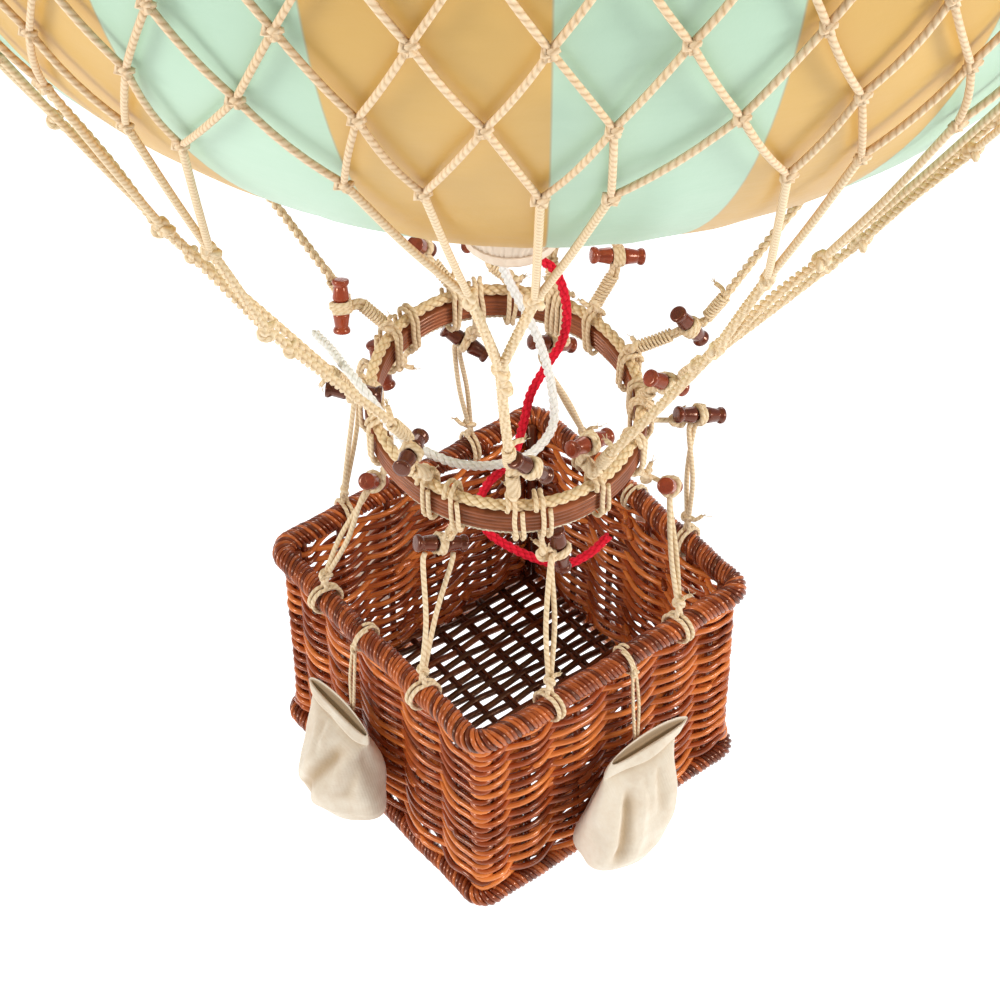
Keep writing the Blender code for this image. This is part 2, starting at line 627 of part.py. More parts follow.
for side, (drop, twine_shift, mouth_shift, foot_shift) in SANDBAGS.items():
    normal, along = SIDES[side]
    level = LOWER_AXIS + normal * (WALL_HALF + BAG_CLEARANCE) + Vector((0, 0, RIM_Z - drop))
    deepest = max(half_depth for share, half_width, half_depth in BAG_SECTIONS)
    places = []
    for share, half_width, half_depth in BAG_SECTIONS:
        shift = mouth_shift + (foot_shift - mouth_shift) * share
        outward = deepest - (deepest - half_depth) * 0.4
        places.append(level + along * shift + normal * outward - Vector((0, 0, BAG_HEIGHT * share)))
    rings = [
        loop_points(place, along, normal, half_width, half_depth, BAG_STEPS)
        for place, (share, half_width, half_depth) in zip(places, BAG_SECTIONS)
    ]
    keep(lofted(rings), f"sandbag_{side}", CANVAS)
    share, half_width, half_depth = BAG_SECTIONS[TIE_SECTION]
    tie_across = half_width + GAP + TWINE_RADIUS
    tie_deep = half_depth + 2 * GAP + TWINE_RADIUS
    rim = LOWER_AXIS + normal * RIM_HALF + along * twine_shift + Vector((0, 0, RIM_Z))
    reach = RIM_RADIUS + GAP + TWINE_RADIUS
    solids = [tube(loop_points(rim, normal, Vector((0, 0, 1)), reach, reach, 10), TWINE_RADIUS, True)]
    solids.append(tube(loop_points(places[TIE_SECTION], along, normal, tie_across, tie_deep, 20), TWINE_RADIUS, True))
    inner_side = places[TIE_SECTION] - normal * tie_deep
    start = rim + normal * reach
    end = inner_side + along * along.dot(rim - inner_side) * 0.6
    solids.append(tube([start, past(start, end)], TWINE_RADIUS))
    keep(fused(solids), f"sandbag_tie_{side}", CORD)

# Loose ropes: the white valve line and the red rip line that hang from the neck cap
for name, route, look in (("valve_line", WHITE_ROUTE, WHITE), ("rip_line", RED_ROUTE, RED)):
    keep(tube(smooth_route(route, 0.0085), ROPE_RADIUS, resolution=2), name, look)
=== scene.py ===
# %% [markdown]
# A small decorative balloon: a striped paper globe in a knotted cord net, a load ring with wooden pins, and a
# wicker basket with four sandbags. The packed model is loaded first as a fixed frame. Every piece made below is
# dressed over it, in the same metres and at the same origin, the hook's place inside the brass eye at the crown.

# %% Load the frame
import json
from math import atan2, cos, pi, radians, sin, sqrt

import bpy
import numpy as np
from mathutils import Matrix, Vector

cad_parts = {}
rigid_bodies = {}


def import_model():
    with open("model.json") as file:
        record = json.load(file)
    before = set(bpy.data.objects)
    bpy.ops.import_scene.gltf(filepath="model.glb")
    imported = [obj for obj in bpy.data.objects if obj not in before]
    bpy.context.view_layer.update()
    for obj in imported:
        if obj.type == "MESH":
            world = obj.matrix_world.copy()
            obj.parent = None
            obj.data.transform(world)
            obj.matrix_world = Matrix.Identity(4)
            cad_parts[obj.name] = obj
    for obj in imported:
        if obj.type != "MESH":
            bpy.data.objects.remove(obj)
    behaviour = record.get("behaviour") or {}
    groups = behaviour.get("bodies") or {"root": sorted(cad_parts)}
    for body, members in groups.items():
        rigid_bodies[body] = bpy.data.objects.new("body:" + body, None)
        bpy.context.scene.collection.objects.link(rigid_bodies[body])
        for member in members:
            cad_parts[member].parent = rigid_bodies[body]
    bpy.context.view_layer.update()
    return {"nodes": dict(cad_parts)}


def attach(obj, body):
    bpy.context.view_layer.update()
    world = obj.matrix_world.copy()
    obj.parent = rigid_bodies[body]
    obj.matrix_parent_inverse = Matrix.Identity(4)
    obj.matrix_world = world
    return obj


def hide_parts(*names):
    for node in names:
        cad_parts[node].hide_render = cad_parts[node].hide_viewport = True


for old in list(bpy.data.objects):
    bpy.data.objects.remove(old, do_unlink=True)
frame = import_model()
nodes = frame["nodes"]
chance = np.random.default_rng(7)

# %% [markdown]
# The camera looks down from the basket's front corner, as the photographer stood. It could be placed by eye, but
# cords that cross in front of each other show every error. So its place and lens were solved from the corners of
# the basket's rim and foot, the ring and the globe's edge. The picture is square.

# %% Camera
CAMERA_PLACE = Vector((-0.3077, -0.3826, 0.0121))
CAMERA_RIGHT = Vector((0.7871, -0.6168, -0.0084)).normalized()
CAMERA_AHEAD = Vector((0.4375, 0.5678, -0.6973)).normalized()
LENS_MM, SENSOR_MM = 90.89, 36

camera_data = bpy.data.cameras.new("camera")
camera_data.lens = LENS_MM
camera_data.sensor_width = SENSOR_MM
camera_data.clip_start = 0.02
camera_data.clip_end = 50
camera = bpy.data.objects.new("camera", camera_data)
bpy.context.scene.collection.objects.link(camera)
camera_up = CAMERA_RIGHT.cross(CAMERA_AHEAD)
turn = Matrix((CAMERA_RIGHT, camera_up, -CAMERA_AHEAD)).transposed()
camera.matrix_world = Matrix.Translation(CAMERA_PLACE) @ turn.to_4x4()
bpy.context.scene.camera = camera
print("camera", camera.location)

# %% [markdown]
# Most of this object is cord and cane, and each of them follows a line. A line is given by a few places, drawn
# smooth through them, and sampled evenly, because a strand that is wound round it needs places at equal steps.

# %% Lines
def arc_lengths(points, closed=False):
    """How far along the line each point lies, and the whole length."""
    p = np.asarray(points, float)
    ahead = np.roll(p, -1, 0) if closed else p[1:]
    steps = np.linalg.norm(ahead - p[: len(ahead)], axis=1)
    along = np.concatenate(([0], np.cumsum(steps)))
    return along[: len(p)], along[-1]


def even_line(points, step, closed=False):
    """The same line, with points about every step along it."""
    p = np.asarray([tuple(point) for point in points], float)
    if closed:
        p = np.vstack((p, p[:1]))
    along, whole = arc_lengths(p)
    count = max(2, round(whole / step))
    at = np.linspace(0, whole, count + 1)
    even = np.stack([np.interp(at, along, p[:, axis]) for axis in range(3)], 1)
    return even[:-1] if closed else even


def smooth_line(points, step, closed=False):
    """A smooth line through the given points, sampled evenly about every step."""
    p = np.asarray([tuple(point) for point in points], float)
    if closed:
        ends = np.vstack((p[-1:], p, p[:2]))
    else:
        ends = np.vstack((2 * p[0] - p[1], p, 2 * p[-1] - p[-2]))
    t = np.linspace(0, 1, 12, endpoint=False)[:, None]
    fine = []
    for a, b, c, d in zip(ends, ends[1:], ends[2:], ends[3:]):
        bend = (2 * a - 5 * b + 4 * c - d) * t**2 + (3 * b - a - 3 * c + d) * t**3
        fine.append(0.5 * (2 * b + (c - a) * t + bend))
    fine = np.vstack(fine + ([] if closed else [p[-1:]]))
    return even_line(fine, step, closed)


bow = smooth_line([(0, 0, 0), (0.01, 0.004, 0), (0.02, 0, 0)], 0.001)
print("a bow of three places becomes", len(bow), "points over", round(arc_lengths(bow)[1], 4), "m")

# %% [markdown]
# A strand of a rope winds round the rope's own line. At each point it needs two directions square to the line.
# These are carried from point to point without spin, because axes taken from the bends alone would flip over
# wherever a cord bends the other way.

# %% Winding round a line
def frames(points, closed=False):
    """At each point, the way ahead and two directions square to it that don't spin about the line."""
    p = np.asarray(points, float)
    ahead = np.roll(p, -1, 0) - np.roll(p, 1, 0) if closed else np.gradient(p, axis=0)
    ahead /= np.linalg.norm(ahead, axis=1)[:, None]
    side = np.empty_like(p)
    first = np.cross(ahead[0], (0, 0, 1) if abs(ahead[0, 2]) < 0.9 else (1, 0, 0))
    side[0] = first / np.linalg.norm(first)
    for i in range(1, len(p)):
        side[i] = side[i - 1] - ahead[i] * (side[i - 1] @ ahead[i])
        side[i] /= np.linalg.norm(side[i])
    other = np.cross(ahead, side)
    if closed:
        back = side[-1] - ahead[0] * (side[-1] @ ahead[0])
        slip = -atan2(back @ other[0], back @ side[0]) * np.arange(len(p)) / len(p)
        c, s = np.cos(slip)[:, None], np.sin(slip)[:, None]
        side, other = side * c + other * s, other * c - side * s
    return ahead, side, other


def coil(points, radius, lay, phase=0.0, closed=False):
    """A line wound round another one, once in every lay. Radius may vary along it."""
    p = np.asarray(points, float)
    ahead, side, other = frames(p, closed)
    along, whole = arc_lengths(p, closed)
    if closed:
        lay = whole / round(whole / lay)
    angle = (2 * pi * along / lay + phase)[:, None]
    reach = np.broadcast_to(radius, len(p))[:, None]
    return p + (side * np.cos(angle) + other * np.sin(angle)) * reach


def round_profile(sides, radius):
    angle = np.arange(sides) * 2 * pi / sides
    return np.stack((np.cos(angle) * radius, np.sin(angle) * radius), 1)


print("a coil of the bow has", len(coil(bow, 0.001, 0.004)), "points")

# %% [markdown]
# Every piece stands for some of the frame's solids and moves with one of its bodies. That could be set where each
# piece is made. One short function does it for all of them, so that no piece is left without its material or body.

# %% Dress a piece
def dress(piece, look, body="balloon", replaces=()):
    """Gives a piece its material and the body that it moves with, and hides the frame's nodes that it stands for."""
    piece.data.materials.clear()
    piece.data.materials.append(look)
    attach(piece, body)
    if replaces:
        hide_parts(*replaces)
    return piece


print("solids to dress", len(nodes))

# %% [markdown]
# A curve with a bevel would do for one plain cord. Here the mesh is written directly, because each strand then
# gets a UV map that follows it and a tint of its own, and hundreds of strands share one object. A bundle collects
# the strands of one piece. Its last step makes the object, gives it its material, and lets it ride on a body.

# %% Strands
class Bundle:
    """Collects strands and makes one mesh of them."""

    def __init__(self):
        self.places, self.corners, self.totals, self.maps, self.tints = [], [], [], [], []
        self.count = 0

    def sweep(self, points, profile, closed=False, scale=1.0, tint=None, sides=None):
        """One strand: the profile is carried along the line, and an open strand gets a cap at each end."""
        p = np.asarray(points, float)
        n, m = len(p), len(profile)
        if sides is None:
            ahead, side, other = frames(p, closed)
        else:
            side, other = sides
        size = np.broadcast_to(scale, n)[:, None]
        ring = side[:, None] * profile[None, :, :1] + other[:, None] * profile[None, :, 1:]
        self.places.append((p[:, None] + ring * size[:, None]).reshape(-1, 3))
        rows = n if closed else n - 1
        i, j = np.meshgrid(np.arange(rows), np.arange(m), indexing="ij")
        after_i, after_j = (i + 1) % n, (j + 1) % m
        quads = (i * m + j, i * m + after_j, after_i * m + after_j, after_i * m + j)
        quads = np.stack(quads, 2).reshape(-1, 4)
        along, whole = arc_lengths(p, closed)
        along = np.append(along, whole)
        u0, u1, v0, v1 = j / m, (j + 1) / m, along[i], along[i + 1]
        self.corners.append(quads.ravel() + self.count)
        self.totals.append(np.full(len(quads), 4))
        self.maps.append(np.stack((u0, v0, u1, v0, u1, v1, u0, v1), 2).reshape(-1, 2))
        if not closed:
            for cap in (np.arange(m)[::-1], np.arange(m) + (n - 1) * m):
                self.corners.append(cap + self.count)
                self.totals.append(np.array([m]))
                self.maps.append(np.zeros((m, 2)))
        self.tints.append(np.full(n * m, chance.random() if tint is None else tint))
        self.count += n * m
        return self

    def cord(self, points, radius, sides=6, closed=False, scale=1.0, tint=None):
        return self.sweep(points, round_profile(sides, radius), closed, scale, tint)

    def rope(self, points, radius, lay, strands=3, sides=6, closed=False, scale=1.0, tint=None):
        """A laid rope: strands wound round one line."""
        strand = radius / (1 + 1 / sin(pi / strands))
        size = np.broadcast_to(scale, len(points))
        for k in range(strands):
            line = coil(points, (radius - strand) * size, lay, 2 * pi * k / strands, closed)
            self.cord(line, strand * STRAND_PRESS, sides, closed, scale, tint)
        return self

    def done(self, name, look, body="balloon", slot=None, replaces=()):
        """Makes the object, with its UV map, tint and material, and lets it ride on a body."""
        mesh = bpy.data.meshes.new(name)
        co, corners = np.vstack(self.places), np.concatenate(self.corners)
        totals = np.concatenate(self.totals)
        mesh.vertices.add(len(co))
        mesh.vertices.foreach_set("co", co.ravel())
        mesh.loops.add(len(corners))
        mesh.loops.foreach_set("vertex_index", corners)
        mesh.polygons.add(len(totals))
        mesh.polygons.foreach_set("loop_start", np.concatenate(([0], np.cumsum(totals)[:-1])))
        mesh.uv_layers.new(name="UVMap").data.foreach_set("uv", np.vstack(self.maps).ravel())
        mesh.attributes.new("tint", "FLOAT", "POINT").data.foreach_set("value", np.concatenate(self.tints))
        mesh.update(calc_edges=True)
        mesh.validate()
        mesh.shade_smooth()
        piece = bpy.data.objects.new(name, mesh)
        bpy.context.scene.collection.objects.link(piece)
        return dress(piece, look, body, replaces)


# Strands of a rope press into each other, so each is a little thicker than its share of the rope
STRAND_PRESS = 1.13
print("strand press", STRAND_PRESS)

# %% [markdown]
# Every material is wired by code. A few short helpers add a node, set its sockets and hand back its output, so
# that a finish below reads as the sum of what is seen on it. All patterns are procedural: they follow either the
# piece's place in space or the UV map along a strand.

# %% Wiring a material
class Wiring:
    """The nodes of one material or node group, and short ways to add more."""

    def __init__(self, tree):
        self.nodes, self.links = tree.nodes, tree.links

    def feed(self, node, values):
        """Sets a node's sockets to numbers or colours, or links them to other nodes' outputs."""
        for socket, value in values.items():
            if isinstance(value, (int, float)):
                node.inputs[socket].default_value = value
            elif isinstance(value, tuple):
                is_colour = node.inputs[socket].type == "RGBA"
                node.inputs[socket].default_value = (*value, 1) if is_colour else value
            else:
                self.links.new(value, node.inputs[socket])

    def add(self, kind, values=None, **settings):
        node = self.nodes.new("ShaderNode" + kind)
        for setting, value in settings.items():
            setattr(node, setting, value)
        self.feed(node, values or {})
        return node

    def maths(self, operation, *values):
        return self.add("Math", dict(enumerate(values)), operation=operation).outputs[0]

    def total(self, *parts):
        """The sum of some values, each times its share."""
        parts = [self.maths("MULTIPLY", value, share) for value, share in parts]
        whole = parts[0]
        for part in parts[1:]:
            whole = self.maths("ADD", whole, part)
        return whole

    def noise(self, place, scale, detail=2.0, roughness=0.5):
        values = {"Vector": place, "Scale": scale, "Detail": detail, "Roughness": roughness}
        return self.add("TexNoise", values).outputs["Fac"]

    def ramp(self, value, *stops):
        node = self.add("ValToRGB", {"Fac": value})
        elements = node.color_ramp.elements
        while len(elements) < len(stops):
            elements.new(1.0)
        for element, (place, colour) in zip(elements, stops):
            element.position = place
            element.color = (*colour, 1)
        return node.outputs["Color"]

    def mix(self, share, first, second):
        return self.add("Mix", {0: share, 6: first, 7: second}, data_type="RGBA").outputs[2]

    def bump(self, height, distance, strength=1.0):
        values = {"Height": height, "Distance": distance, "Strength": strength}
        return self.add("Bump", values).outputs["Normal"]

    def mapping(self, place, **values):
        return self.add("Mapping", {"Vector": place, **values}).outputs["Vector"]

    def apart(self, place):
        return self.add("SeparateXYZ", {0: place}).outputs

    def tint(self):
        return self.add("Attribute", attribute_name="tint").outputs["Fac"]

    def own_place(self):
        return self.add("TexCoord").outputs["Object"]

    def uv(self):
        return self.add("UVMap", uv_map="UVMap").outputs["UV"]


print("wiring helpers", len([name for name in vars(Wiring) if not name.startswith("_")]))

# %% [markdown]
# A finish is a material, and an effect that many finishes share is a node group, so that it is wired once. Copying
# the nodes into each material would work too, but a later change would then have to be made in all of them.

# %% Materials and groups
def new_material(name):
    """A material, with its wiring and its shader."""
    made = bpy.data.materials.new(name)
    made.use_nodes = True
    return made, Wiring(made.node_tree), made.node_tree.nodes["Principled BSDF"]


def new_group(name, inputs, outputs):
    """A node group with plain number sockets, its wiring, and its nodes for what goes in and out."""
    group = bpy.data.node_groups.new(name, "ShaderNodeTree")
    for label, value in inputs.items():
        socket = group.interface.new_socket(label, in_out="INPUT", socket_type="NodeSocketFloat")
        socket.default_value = value
    for label in outputs:
        group.interface.new_socket(label, in_out="OUTPUT", socket_type="NodeSocketFloat")
    return group, Wiring(group), group.nodes.new("NodeGroupInput"), group.nodes.new("NodeGroupOutput")


frame_looks = {slot.material.name for node in nodes.values() for slot in node.material_slots}
print("looks on the frame's own solids", sorted(frame_looks))

# %% [markdown]
# Cotton cord is twisted from yarn, which shows as slanting ridges with darker grooves. They could be modelled, as
# the strands of the thick ropes are, but a thin cord's ridges are finer than a pixel. So a shared node group
# draws them along the strand's UV map, and each cord's material places the group with its own turns and colours.
# The material puts the ridges in its bump and paints the grooves' shade into the colour.

# %% Cord
def make_twist_group():
    group, wiring, inside, outside = new_group(
        "cord_twist", {"Turns": 2.0, "Per metre": 400.0}, ["Height", "Fibre"])
    place = wiring.apart(wiring.uv())
    around = wiring.maths("MULTIPLY", place["X"], inside.outputs["Turns"])
    along = wiring.maths("MULTIPLY", place["Y"], inside.outputs["Per metre"])
    wave = wiring.maths("FRACT", wiring.maths("ADD", around, along))
    ridge = wiring.maths("SINE", wiring.maths("MULTIPLY", wave, pi))
    fibre = wiring.noise(wiring.own_place(), 2600, 3.0, 0.6)
    wiring.feed(outside, {"Height": ridge, "Fibre": fibre})
    return group


TWIST = make_twist_group()


def cord_look(name, dark, middle, light, turns, per_metre, depth, sheen=0.12):
    """Cotton cord: twist and fibre in its bump, painted shade in the grooves, and a tint of its own for each strand.
    """
    made, wiring, shader = new_material(name)
    twist = wiring.add("Group", node_tree=TWIST)
    wiring.feed(twist, {"Turns": turns, "Per metre": per_metre})
    ridge, fibre = twist.outputs["Height"], twist.outputs["Fibre"]
    soft = wiring.noise(wiring.own_place(), 60, 2.0)
    # The ridge darkens the grooves, which is painted shade; fibre, tint and soft noise are the cord's own uneven
    # colour
    tone = wiring.total((ridge, 0.55), (fibre, 0.35), (wiring.tint(), 0.14), (soft, 0.12))
    height = wiring.maths("ADD", ridge, wiring.maths("MULTIPLY", fibre, 0.5))
    wiring.feed(shader, {
        "Base Color": wiring.ramp(tone, (0.12, dark), (0.52, middle), (0.95, light)),
        "Normal": wiring.bump(height, depth),
        "Roughness": 0.85,
        "Sheen Weight": sheen,
        "Sheen Roughness": 0.5,
        "Specular IOR Level": 0.25,
    })
    return made


CORD = cord_look("net_cord", (0.56, 0.36, 0.18), (0.76, 0.54, 0.32), (0.88, 0.69, 0.46), 2.0, 520.0, 0.00012)
LAID = cord_look("laid_cord", (0.56, 0.37, 0.17), (0.75, 0.54, 0.29), (0.90, 0.72, 0.46), 2.0, 700.0, 0.00008)
WHITE = cord_look("white_rope", (0.72, 0.69, 0.62), (0.84, 0.81, 0.75), (0.94, 0.92, 0.88), 2.0, 700.0, 0.00006)
RED = cord_look(
    "red_rope", (0.42, 0.002, 0.010), (0.64, 0.004, 0.020), (0.84, 0.012, 0.040), 2.0, 700.0, 0.00006, sheen=0.03)
TIED = cord_look("tied_cord", (0.58, 0.40, 0.21), (0.76, 0.56, 0.33), (0.90, 0.73, 0.50), 2.0, 620.0, 0.00008)
PALE = cord_look("pale_cord", (0.50, 0.36, 0.20), (0.84, 0.70, 0.48), (0.95, 0.85, 0.66), 3.0, 900.0, 0.0002)
print("cord looks", [look.name for look in (CORD, LAID, WHITE, RED, TIED, PALE)])

# %% [markdown]
# Willow, rattan and the turned pins are all varnished plant fibre. Fine streaks run along each strand, the stain
# lies unevenly, and the varnish gives two glints: a wide one in the stain's own colour and a small white one. A
# plain clear coat alone would turn the dark stain grey, so the base carries the tinted glint under a thin coat.

# %% Cane and wood
def make_fibre_group():
    """Long fibres along a strand of cane or willow, and a soft mottle across them."""
    group, wiring, inside, outside = new_group("cane_fibre", {}, ["Streak", "Mottle"])
    drawn = wiring.mapping(wiring.uv(), Scale=(7.0, 60.0, 1.0))
    streak = wiring.noise(drawn, 1.0, 4.0, 0.6)
    mottle = wiring.noise(wiring.own_place(), 130, 3.0, 0.6)
    wiring.feed(outside, {"Streak": streak, "Mottle": mottle})
    return group


FIBRE = make_fibre_group()


def cane_look(name, dark, middle, light, roughness, coat, depth=0.0002):
    """Varnished cane, willow or wood: streaks along each strand, a mottle across them, and a thin coat."""
    made, wiring, shader = new_material(name)
    fibre = wiring.add("Group", node_tree=FIBRE)
    streak, mottle = fibre.outputs["Streak"], fibre.outputs["Mottle"]
    tone = wiring.total((streak, 0.42), (mottle, 0.34), (wiring.tint(), 0.42))
    wiring.feed(shader, {
        "Base Color": wiring.ramp(tone, (0.28, dark), (0.56, middle), (0.82, light)),
        "Normal": wiring.bump(streak, depth),
        "Roughness": roughness,
        "Specular IOR Level": 0.8,
        "Specular Tint": (1.0, 0.46, 0.22),
        "Coat Weight": coat,
        "Coat Roughness": 0.17,
        "Coat IOR": 1.7,
    })
    return made


RATTAN = cane_look("rattan", (0.024, 0.007, 0.003), (0.125, 0.033, 0.014), (0.42, 0.125, 0.052), 0.35, 0.15)
WILLOW = cane_look("willow", (0.085, 0.010, 0.002), (0.37, 0.060, 0.009), (0.80, 0.225, 0.042), 0.26, 0.34)
WRAP = cane_look("willow_wrap", (0.035, 0.005, 0.002), (0.20, 0.029, 0.007), (0.62, 0.150, 0.033), 0.26, 0.30)
# The floor's willow: its dark colour holds the shade inside the basket, painted in
FLOOR_WILLOW_SHADED = cane_look(
    "floor_willow_shaded", (0.012, 0.003, 0.001), (0.050, 0.010, 0.004), (0.19, 0.042, 0.012), 0.30, 0.12)
WOOD = cane_look(
    "turned_wood", (0.035, 0.005, 0.003), (0.110, 0.017, 0.009), (0.34, 0.050, 0.020), 0.25, 0.3, 0.0001)
print("cane looks", [look.name for look in (RATTAN, WILLOW, WRAP, FLOOR_WILLOW_SHADED, WOOD)])

# %% [markdown]
# The two loose ropes come first, because their lengths are checked. Each is a soft three-strand rope that hangs
# from the neck cap. It could be a curve, but three swept strands show the lay. The routes are those of the
# frame's solids, chosen so that each rope passes in front of and behind the ring as it really hangs.

# %% Loose ropes
ROPE_RADIUS = 0.00125
ROPE_LAY = 0.0062
WHITE_ROUTE = [
    (-0.0082, 0.0044, -0.3762), (-0.0080, 0.0046, -0.3820), (-0.0062, 0.0036, -0.3890),
    (-0.0044, 0.0001, -0.3963), (-0.0020, -0.0033, -0.4067), (-0.0010, -0.0066, -0.4187),
    (-0.0030, -0.0099, -0.4293), (-0.0108, -0.0104, -0.4345), (-0.0204, -0.0080, -0.4345),
    (-0.0286, -0.0038, -0.4325), (-0.0346, 0.0012, -0.4288), (-0.0404, 0.0064, -0.4229),
    (-0.0440, 0.0070, -0.4154), (-0.0467, 0.0086, -0.4086), (-0.0470, 0.0145, -0.4059),
    (-0.0453, 0.0233, -0.4069), (-0.0433, 0.0307, -0.4087), (-0.0417, 0.0399, -0.4106),
]
RED_ROUTE = [
    (-0.0012, 0.0012, -0.3762), (-0.0006, 0.0010, -0.3815), (0.0036, -0.0011, -0.3860),
    (0.0052, -0.0033, -0.3920), (0.0059, -0.0042, -0.4006), (0.0051, -0.0034, -0.4093),
    (0.0015, -0.0019, -0.4165), (-0.0034, -0.0012, -0.4243), (-0.0066, -0.0023, -0.4316),
    (-0.0098, -0.0015, -0.4430), (-0.0152, 0.0022, -0.4520), (-0.0182, 0.0026, -0.4590),
    (-0.0189, -0.0020, -0.4640), (-0.0162, -0.0085, -0.4668), (-0.0117, -0.0156, -0.4689),
    (-0.0078, -0.0217, -0.4681), (-0.0028, -0.0255, -0.4641), (0.0019, -0.0274, -0.4591),
]
for name, route, look, slot, node in (
    ("valve_line_rope", WHITE_ROUTE, WHITE, "white_rope", "valve_line"),
    ("rip_line_rope", RED_ROUTE, RED, "red_rope", "rip_line"),
):
    line = smooth_line(route, 0.0008)
    piece = Bundle().rope(line, ROPE_RADIUS, ROPE_LAY, 3, 8).done(name, look, slot=slot, replaces=[node])

# %% [markdown]
# Studio light. The real one stands in an even white surround, so the world and the floor are white. A sun would
# give hard shadows and no glints. Three soft disk lamps give the satin paper and the varnished cane their lights:
# the key from the right of the camera, a fill from the left and a weaker one from behind.

# %% Floor and lights
FLOOR_DEPTH, FLOOR_SIZE = -1.6, 120
BASKET_AIM = Vector((0, 0, -0.42))
# Each lamp's name, place, size and power
LAMPS = [
    ("key", (0.64, -1.13, 0.15), 0.35, 12), ("fill", (-1.25, 0.35, 0.10), 0.40, 9), ("rim", (0.9, 0.9, 0.1), 0.6, 3),
]
world = bpy.data.worlds.new("studio")
bpy.context.scene.world = world
bpy.context.scene.view_settings.view_transform = "Standard"
world.use_nodes = True
world.node_tree.nodes["Background"].inputs["Color"].default_value = (1, 1, 1, 1)
world.node_tree.nodes["Background"].inputs["Strength"].default_value = 0.38

floor_look, wiring, shader = new_material("studio_floor")
wiring.feed(shader, {
    "Base Color": (0.92, 0.92, 0.92), "Roughness": 0.9, "Emission Color": (1.0, 1.0, 1.0), "Emission Strength": 0.85,
})
bpy.ops.mesh.primitive_plane_add(size=FLOOR_SIZE, location=(0, 0, FLOOR_DEPTH))
floor = bpy.context.object
floor.name = "studio_floor"
floor.data.materials.append(floor_look)
for name, place, size, watts in LAMPS:
    data = bpy.data.lights.new(name, "AREA")
    data.shape = "DISK"
    data.size = size
    data.energy = watts
    light = bpy.data.objects.new(name, data)
    bpy.context.scene.collection.objects.link(light)
    light.location = place
    light.rotation_euler = (BASKET_AIM - Vector(place)).to_track_quat("-Z", "Y").to_euler()
print("lamps", [name for name, *rest in LAMPS])

# %% [markdown]
# The globe is paper over a light core, in 24 gores. It could be an outline spun round the axis. Here it starts as
# a sphere primitive, whose columns of faces fall into gores by themselves. The cap below the taper is deleted, and
# the open edge is extruded ring by ring down to the neck.

# %% Envelope body
ENVELOPE_RADIUS = 0.160
ENVELOPE_CENTRE = Vector((0, 0, -0.174))
TAPER_START_DEG = -50
TAPER_EASE, NECK_EASE = 0.045, 0.010
NECK_RADIUS = 0.0115
NECK_Z = -0.372
GORES = 24
GORE_SEGMENTS = 8
TAPER_RINGS = 24


def deselect():
    if bpy.context.object and bpy.context.object.mode != "OBJECT":
        bpy.ops.object.mode_set(mode="OBJECT")
    bpy.ops.object.select_all(action="DESELECT")


def select_below(piece, z):
    """Selects the vertices under a height, and leaves the piece in edit mode."""
    bpy.ops.object.mode_set(mode="EDIT")
    bpy.ops.mesh.select_all(action="DESELECT")
    bpy.ops.object.mode_set(mode="OBJECT")
    for vertex in piece.data.vertices:
        vertex.select = vertex.co.z < z
    bpy.ops.object.mode_set(mode="EDIT")


def extrude_rings(outline, radius, height):
    """Extrudes the selected edge through each radius and height of an outline."""
    for next_radius, next_height in outline:
        bpy.ops.mesh.extrude_region_move(TRANSFORM_OT_translate={"value": (0, 0, next_height - height)})
        share = next_radius / radius
        bpy.ops.transform.resize(value=(share, share, 1), center_override=(0, 0, next_height))
        radius, height = next_radius, next_height


def taper_outline():
    """Radius and height from the taper's start down to the neck, along one smooth curve."""
    start = radians(TAPER_START_DEG)
    r0, z0 = ENVELOPE_RADIUS * cos(start), ENVELOPE_CENTRE.z + ENVELOPE_RADIUS * sin(start)
    knots = [
        (r0, z0), (r0 + TAPER_EASE * sin(start), z0 - TAPER_EASE * cos(start)),
        (NECK_RADIUS, NECK_Z + NECK_EASE), (NECK_RADIUS, NECK_Z),
    ]
    outline = []
    for i in range(1, TAPER_RINGS + 1):
        t = i / TAPER_RINGS
        weights = ((1 - t) ** 3, 3 * t * (1 - t) ** 2, 3 * t**2 * (1 - t), t**3)
        outline.append(tuple(sum(w * k[axis] for w, k in zip(weights, knots)) for axis in (0, 1)))
    return outline


deselect()
bpy.ops.mesh.primitive_uv_sphere_add(
    segments=GORES * GORE_SEGMENTS, ring_count=72, radius=ENVELOPE_RADIUS, location=ENVELOPE_CENTRE
)
envelope = bpy.context.object
envelope.name = "envelope_paper"
bpy.ops.object.transform_apply(location=True, rotation=True, scale=True)
taper_z = ENVELOPE_CENTRE.z + ENVELOPE_RADIUS * sin(radians(TAPER_START_DEG))
select_below(envelope, taper_z - 0.0002)
bpy.ops.mesh.delete(type="VERT")
bpy.ops.object.mode_set(mode="OBJECT")
lowest = min(vertex.co.z for vertex in envelope.data.vertices)
select_below(envelope, lowest + 0.0001)
extrude_rings(taper_outline(), sqrt(ENVELOPE_RADIUS**2 - (lowest - ENVELOPE_CENTRE.z) ** 2), lowest)
bpy.ops.mesh.edge_face_add()
bpy.ops.mesh.select_all(action="SELECT")
bpy.ops.mesh.normals_make_consistent(inside=False)
bpy.ops.object.mode_set(mode="OBJECT")
print("envelope", len(envelope.data.polygons), "faces")

# %% [markdown]
# Paper glued over a ball pulls in a little along its seams and creases between them. Sculpting would give the same
# relief, but every vertex here already knows its gore, so the relief is computed from the place in the gore. The
# lower cone is also drawn sideways, because the real neck hangs off the globe's axis. The UV map counts gores.

# %% Seams, creases and neck
NECK_SHIFT = Vector((-0.0055, 0.0037, 0))
FIRST_SEAM_DEG = 7.0
SEAM_DEPTH, SEAM_WIDTH = 0.00022, 0.05
CREASE_DEPTH, CREASE_WAVES = 0.00010, 6
SMALLEST_REACH = 0.012


def lean_neck(z):
    """How far the lower cone is drawn sideways at a height."""
    return NECK_SHIFT * min(1, max(0, (taper_z - z) / (taper_z - NECK_Z)))


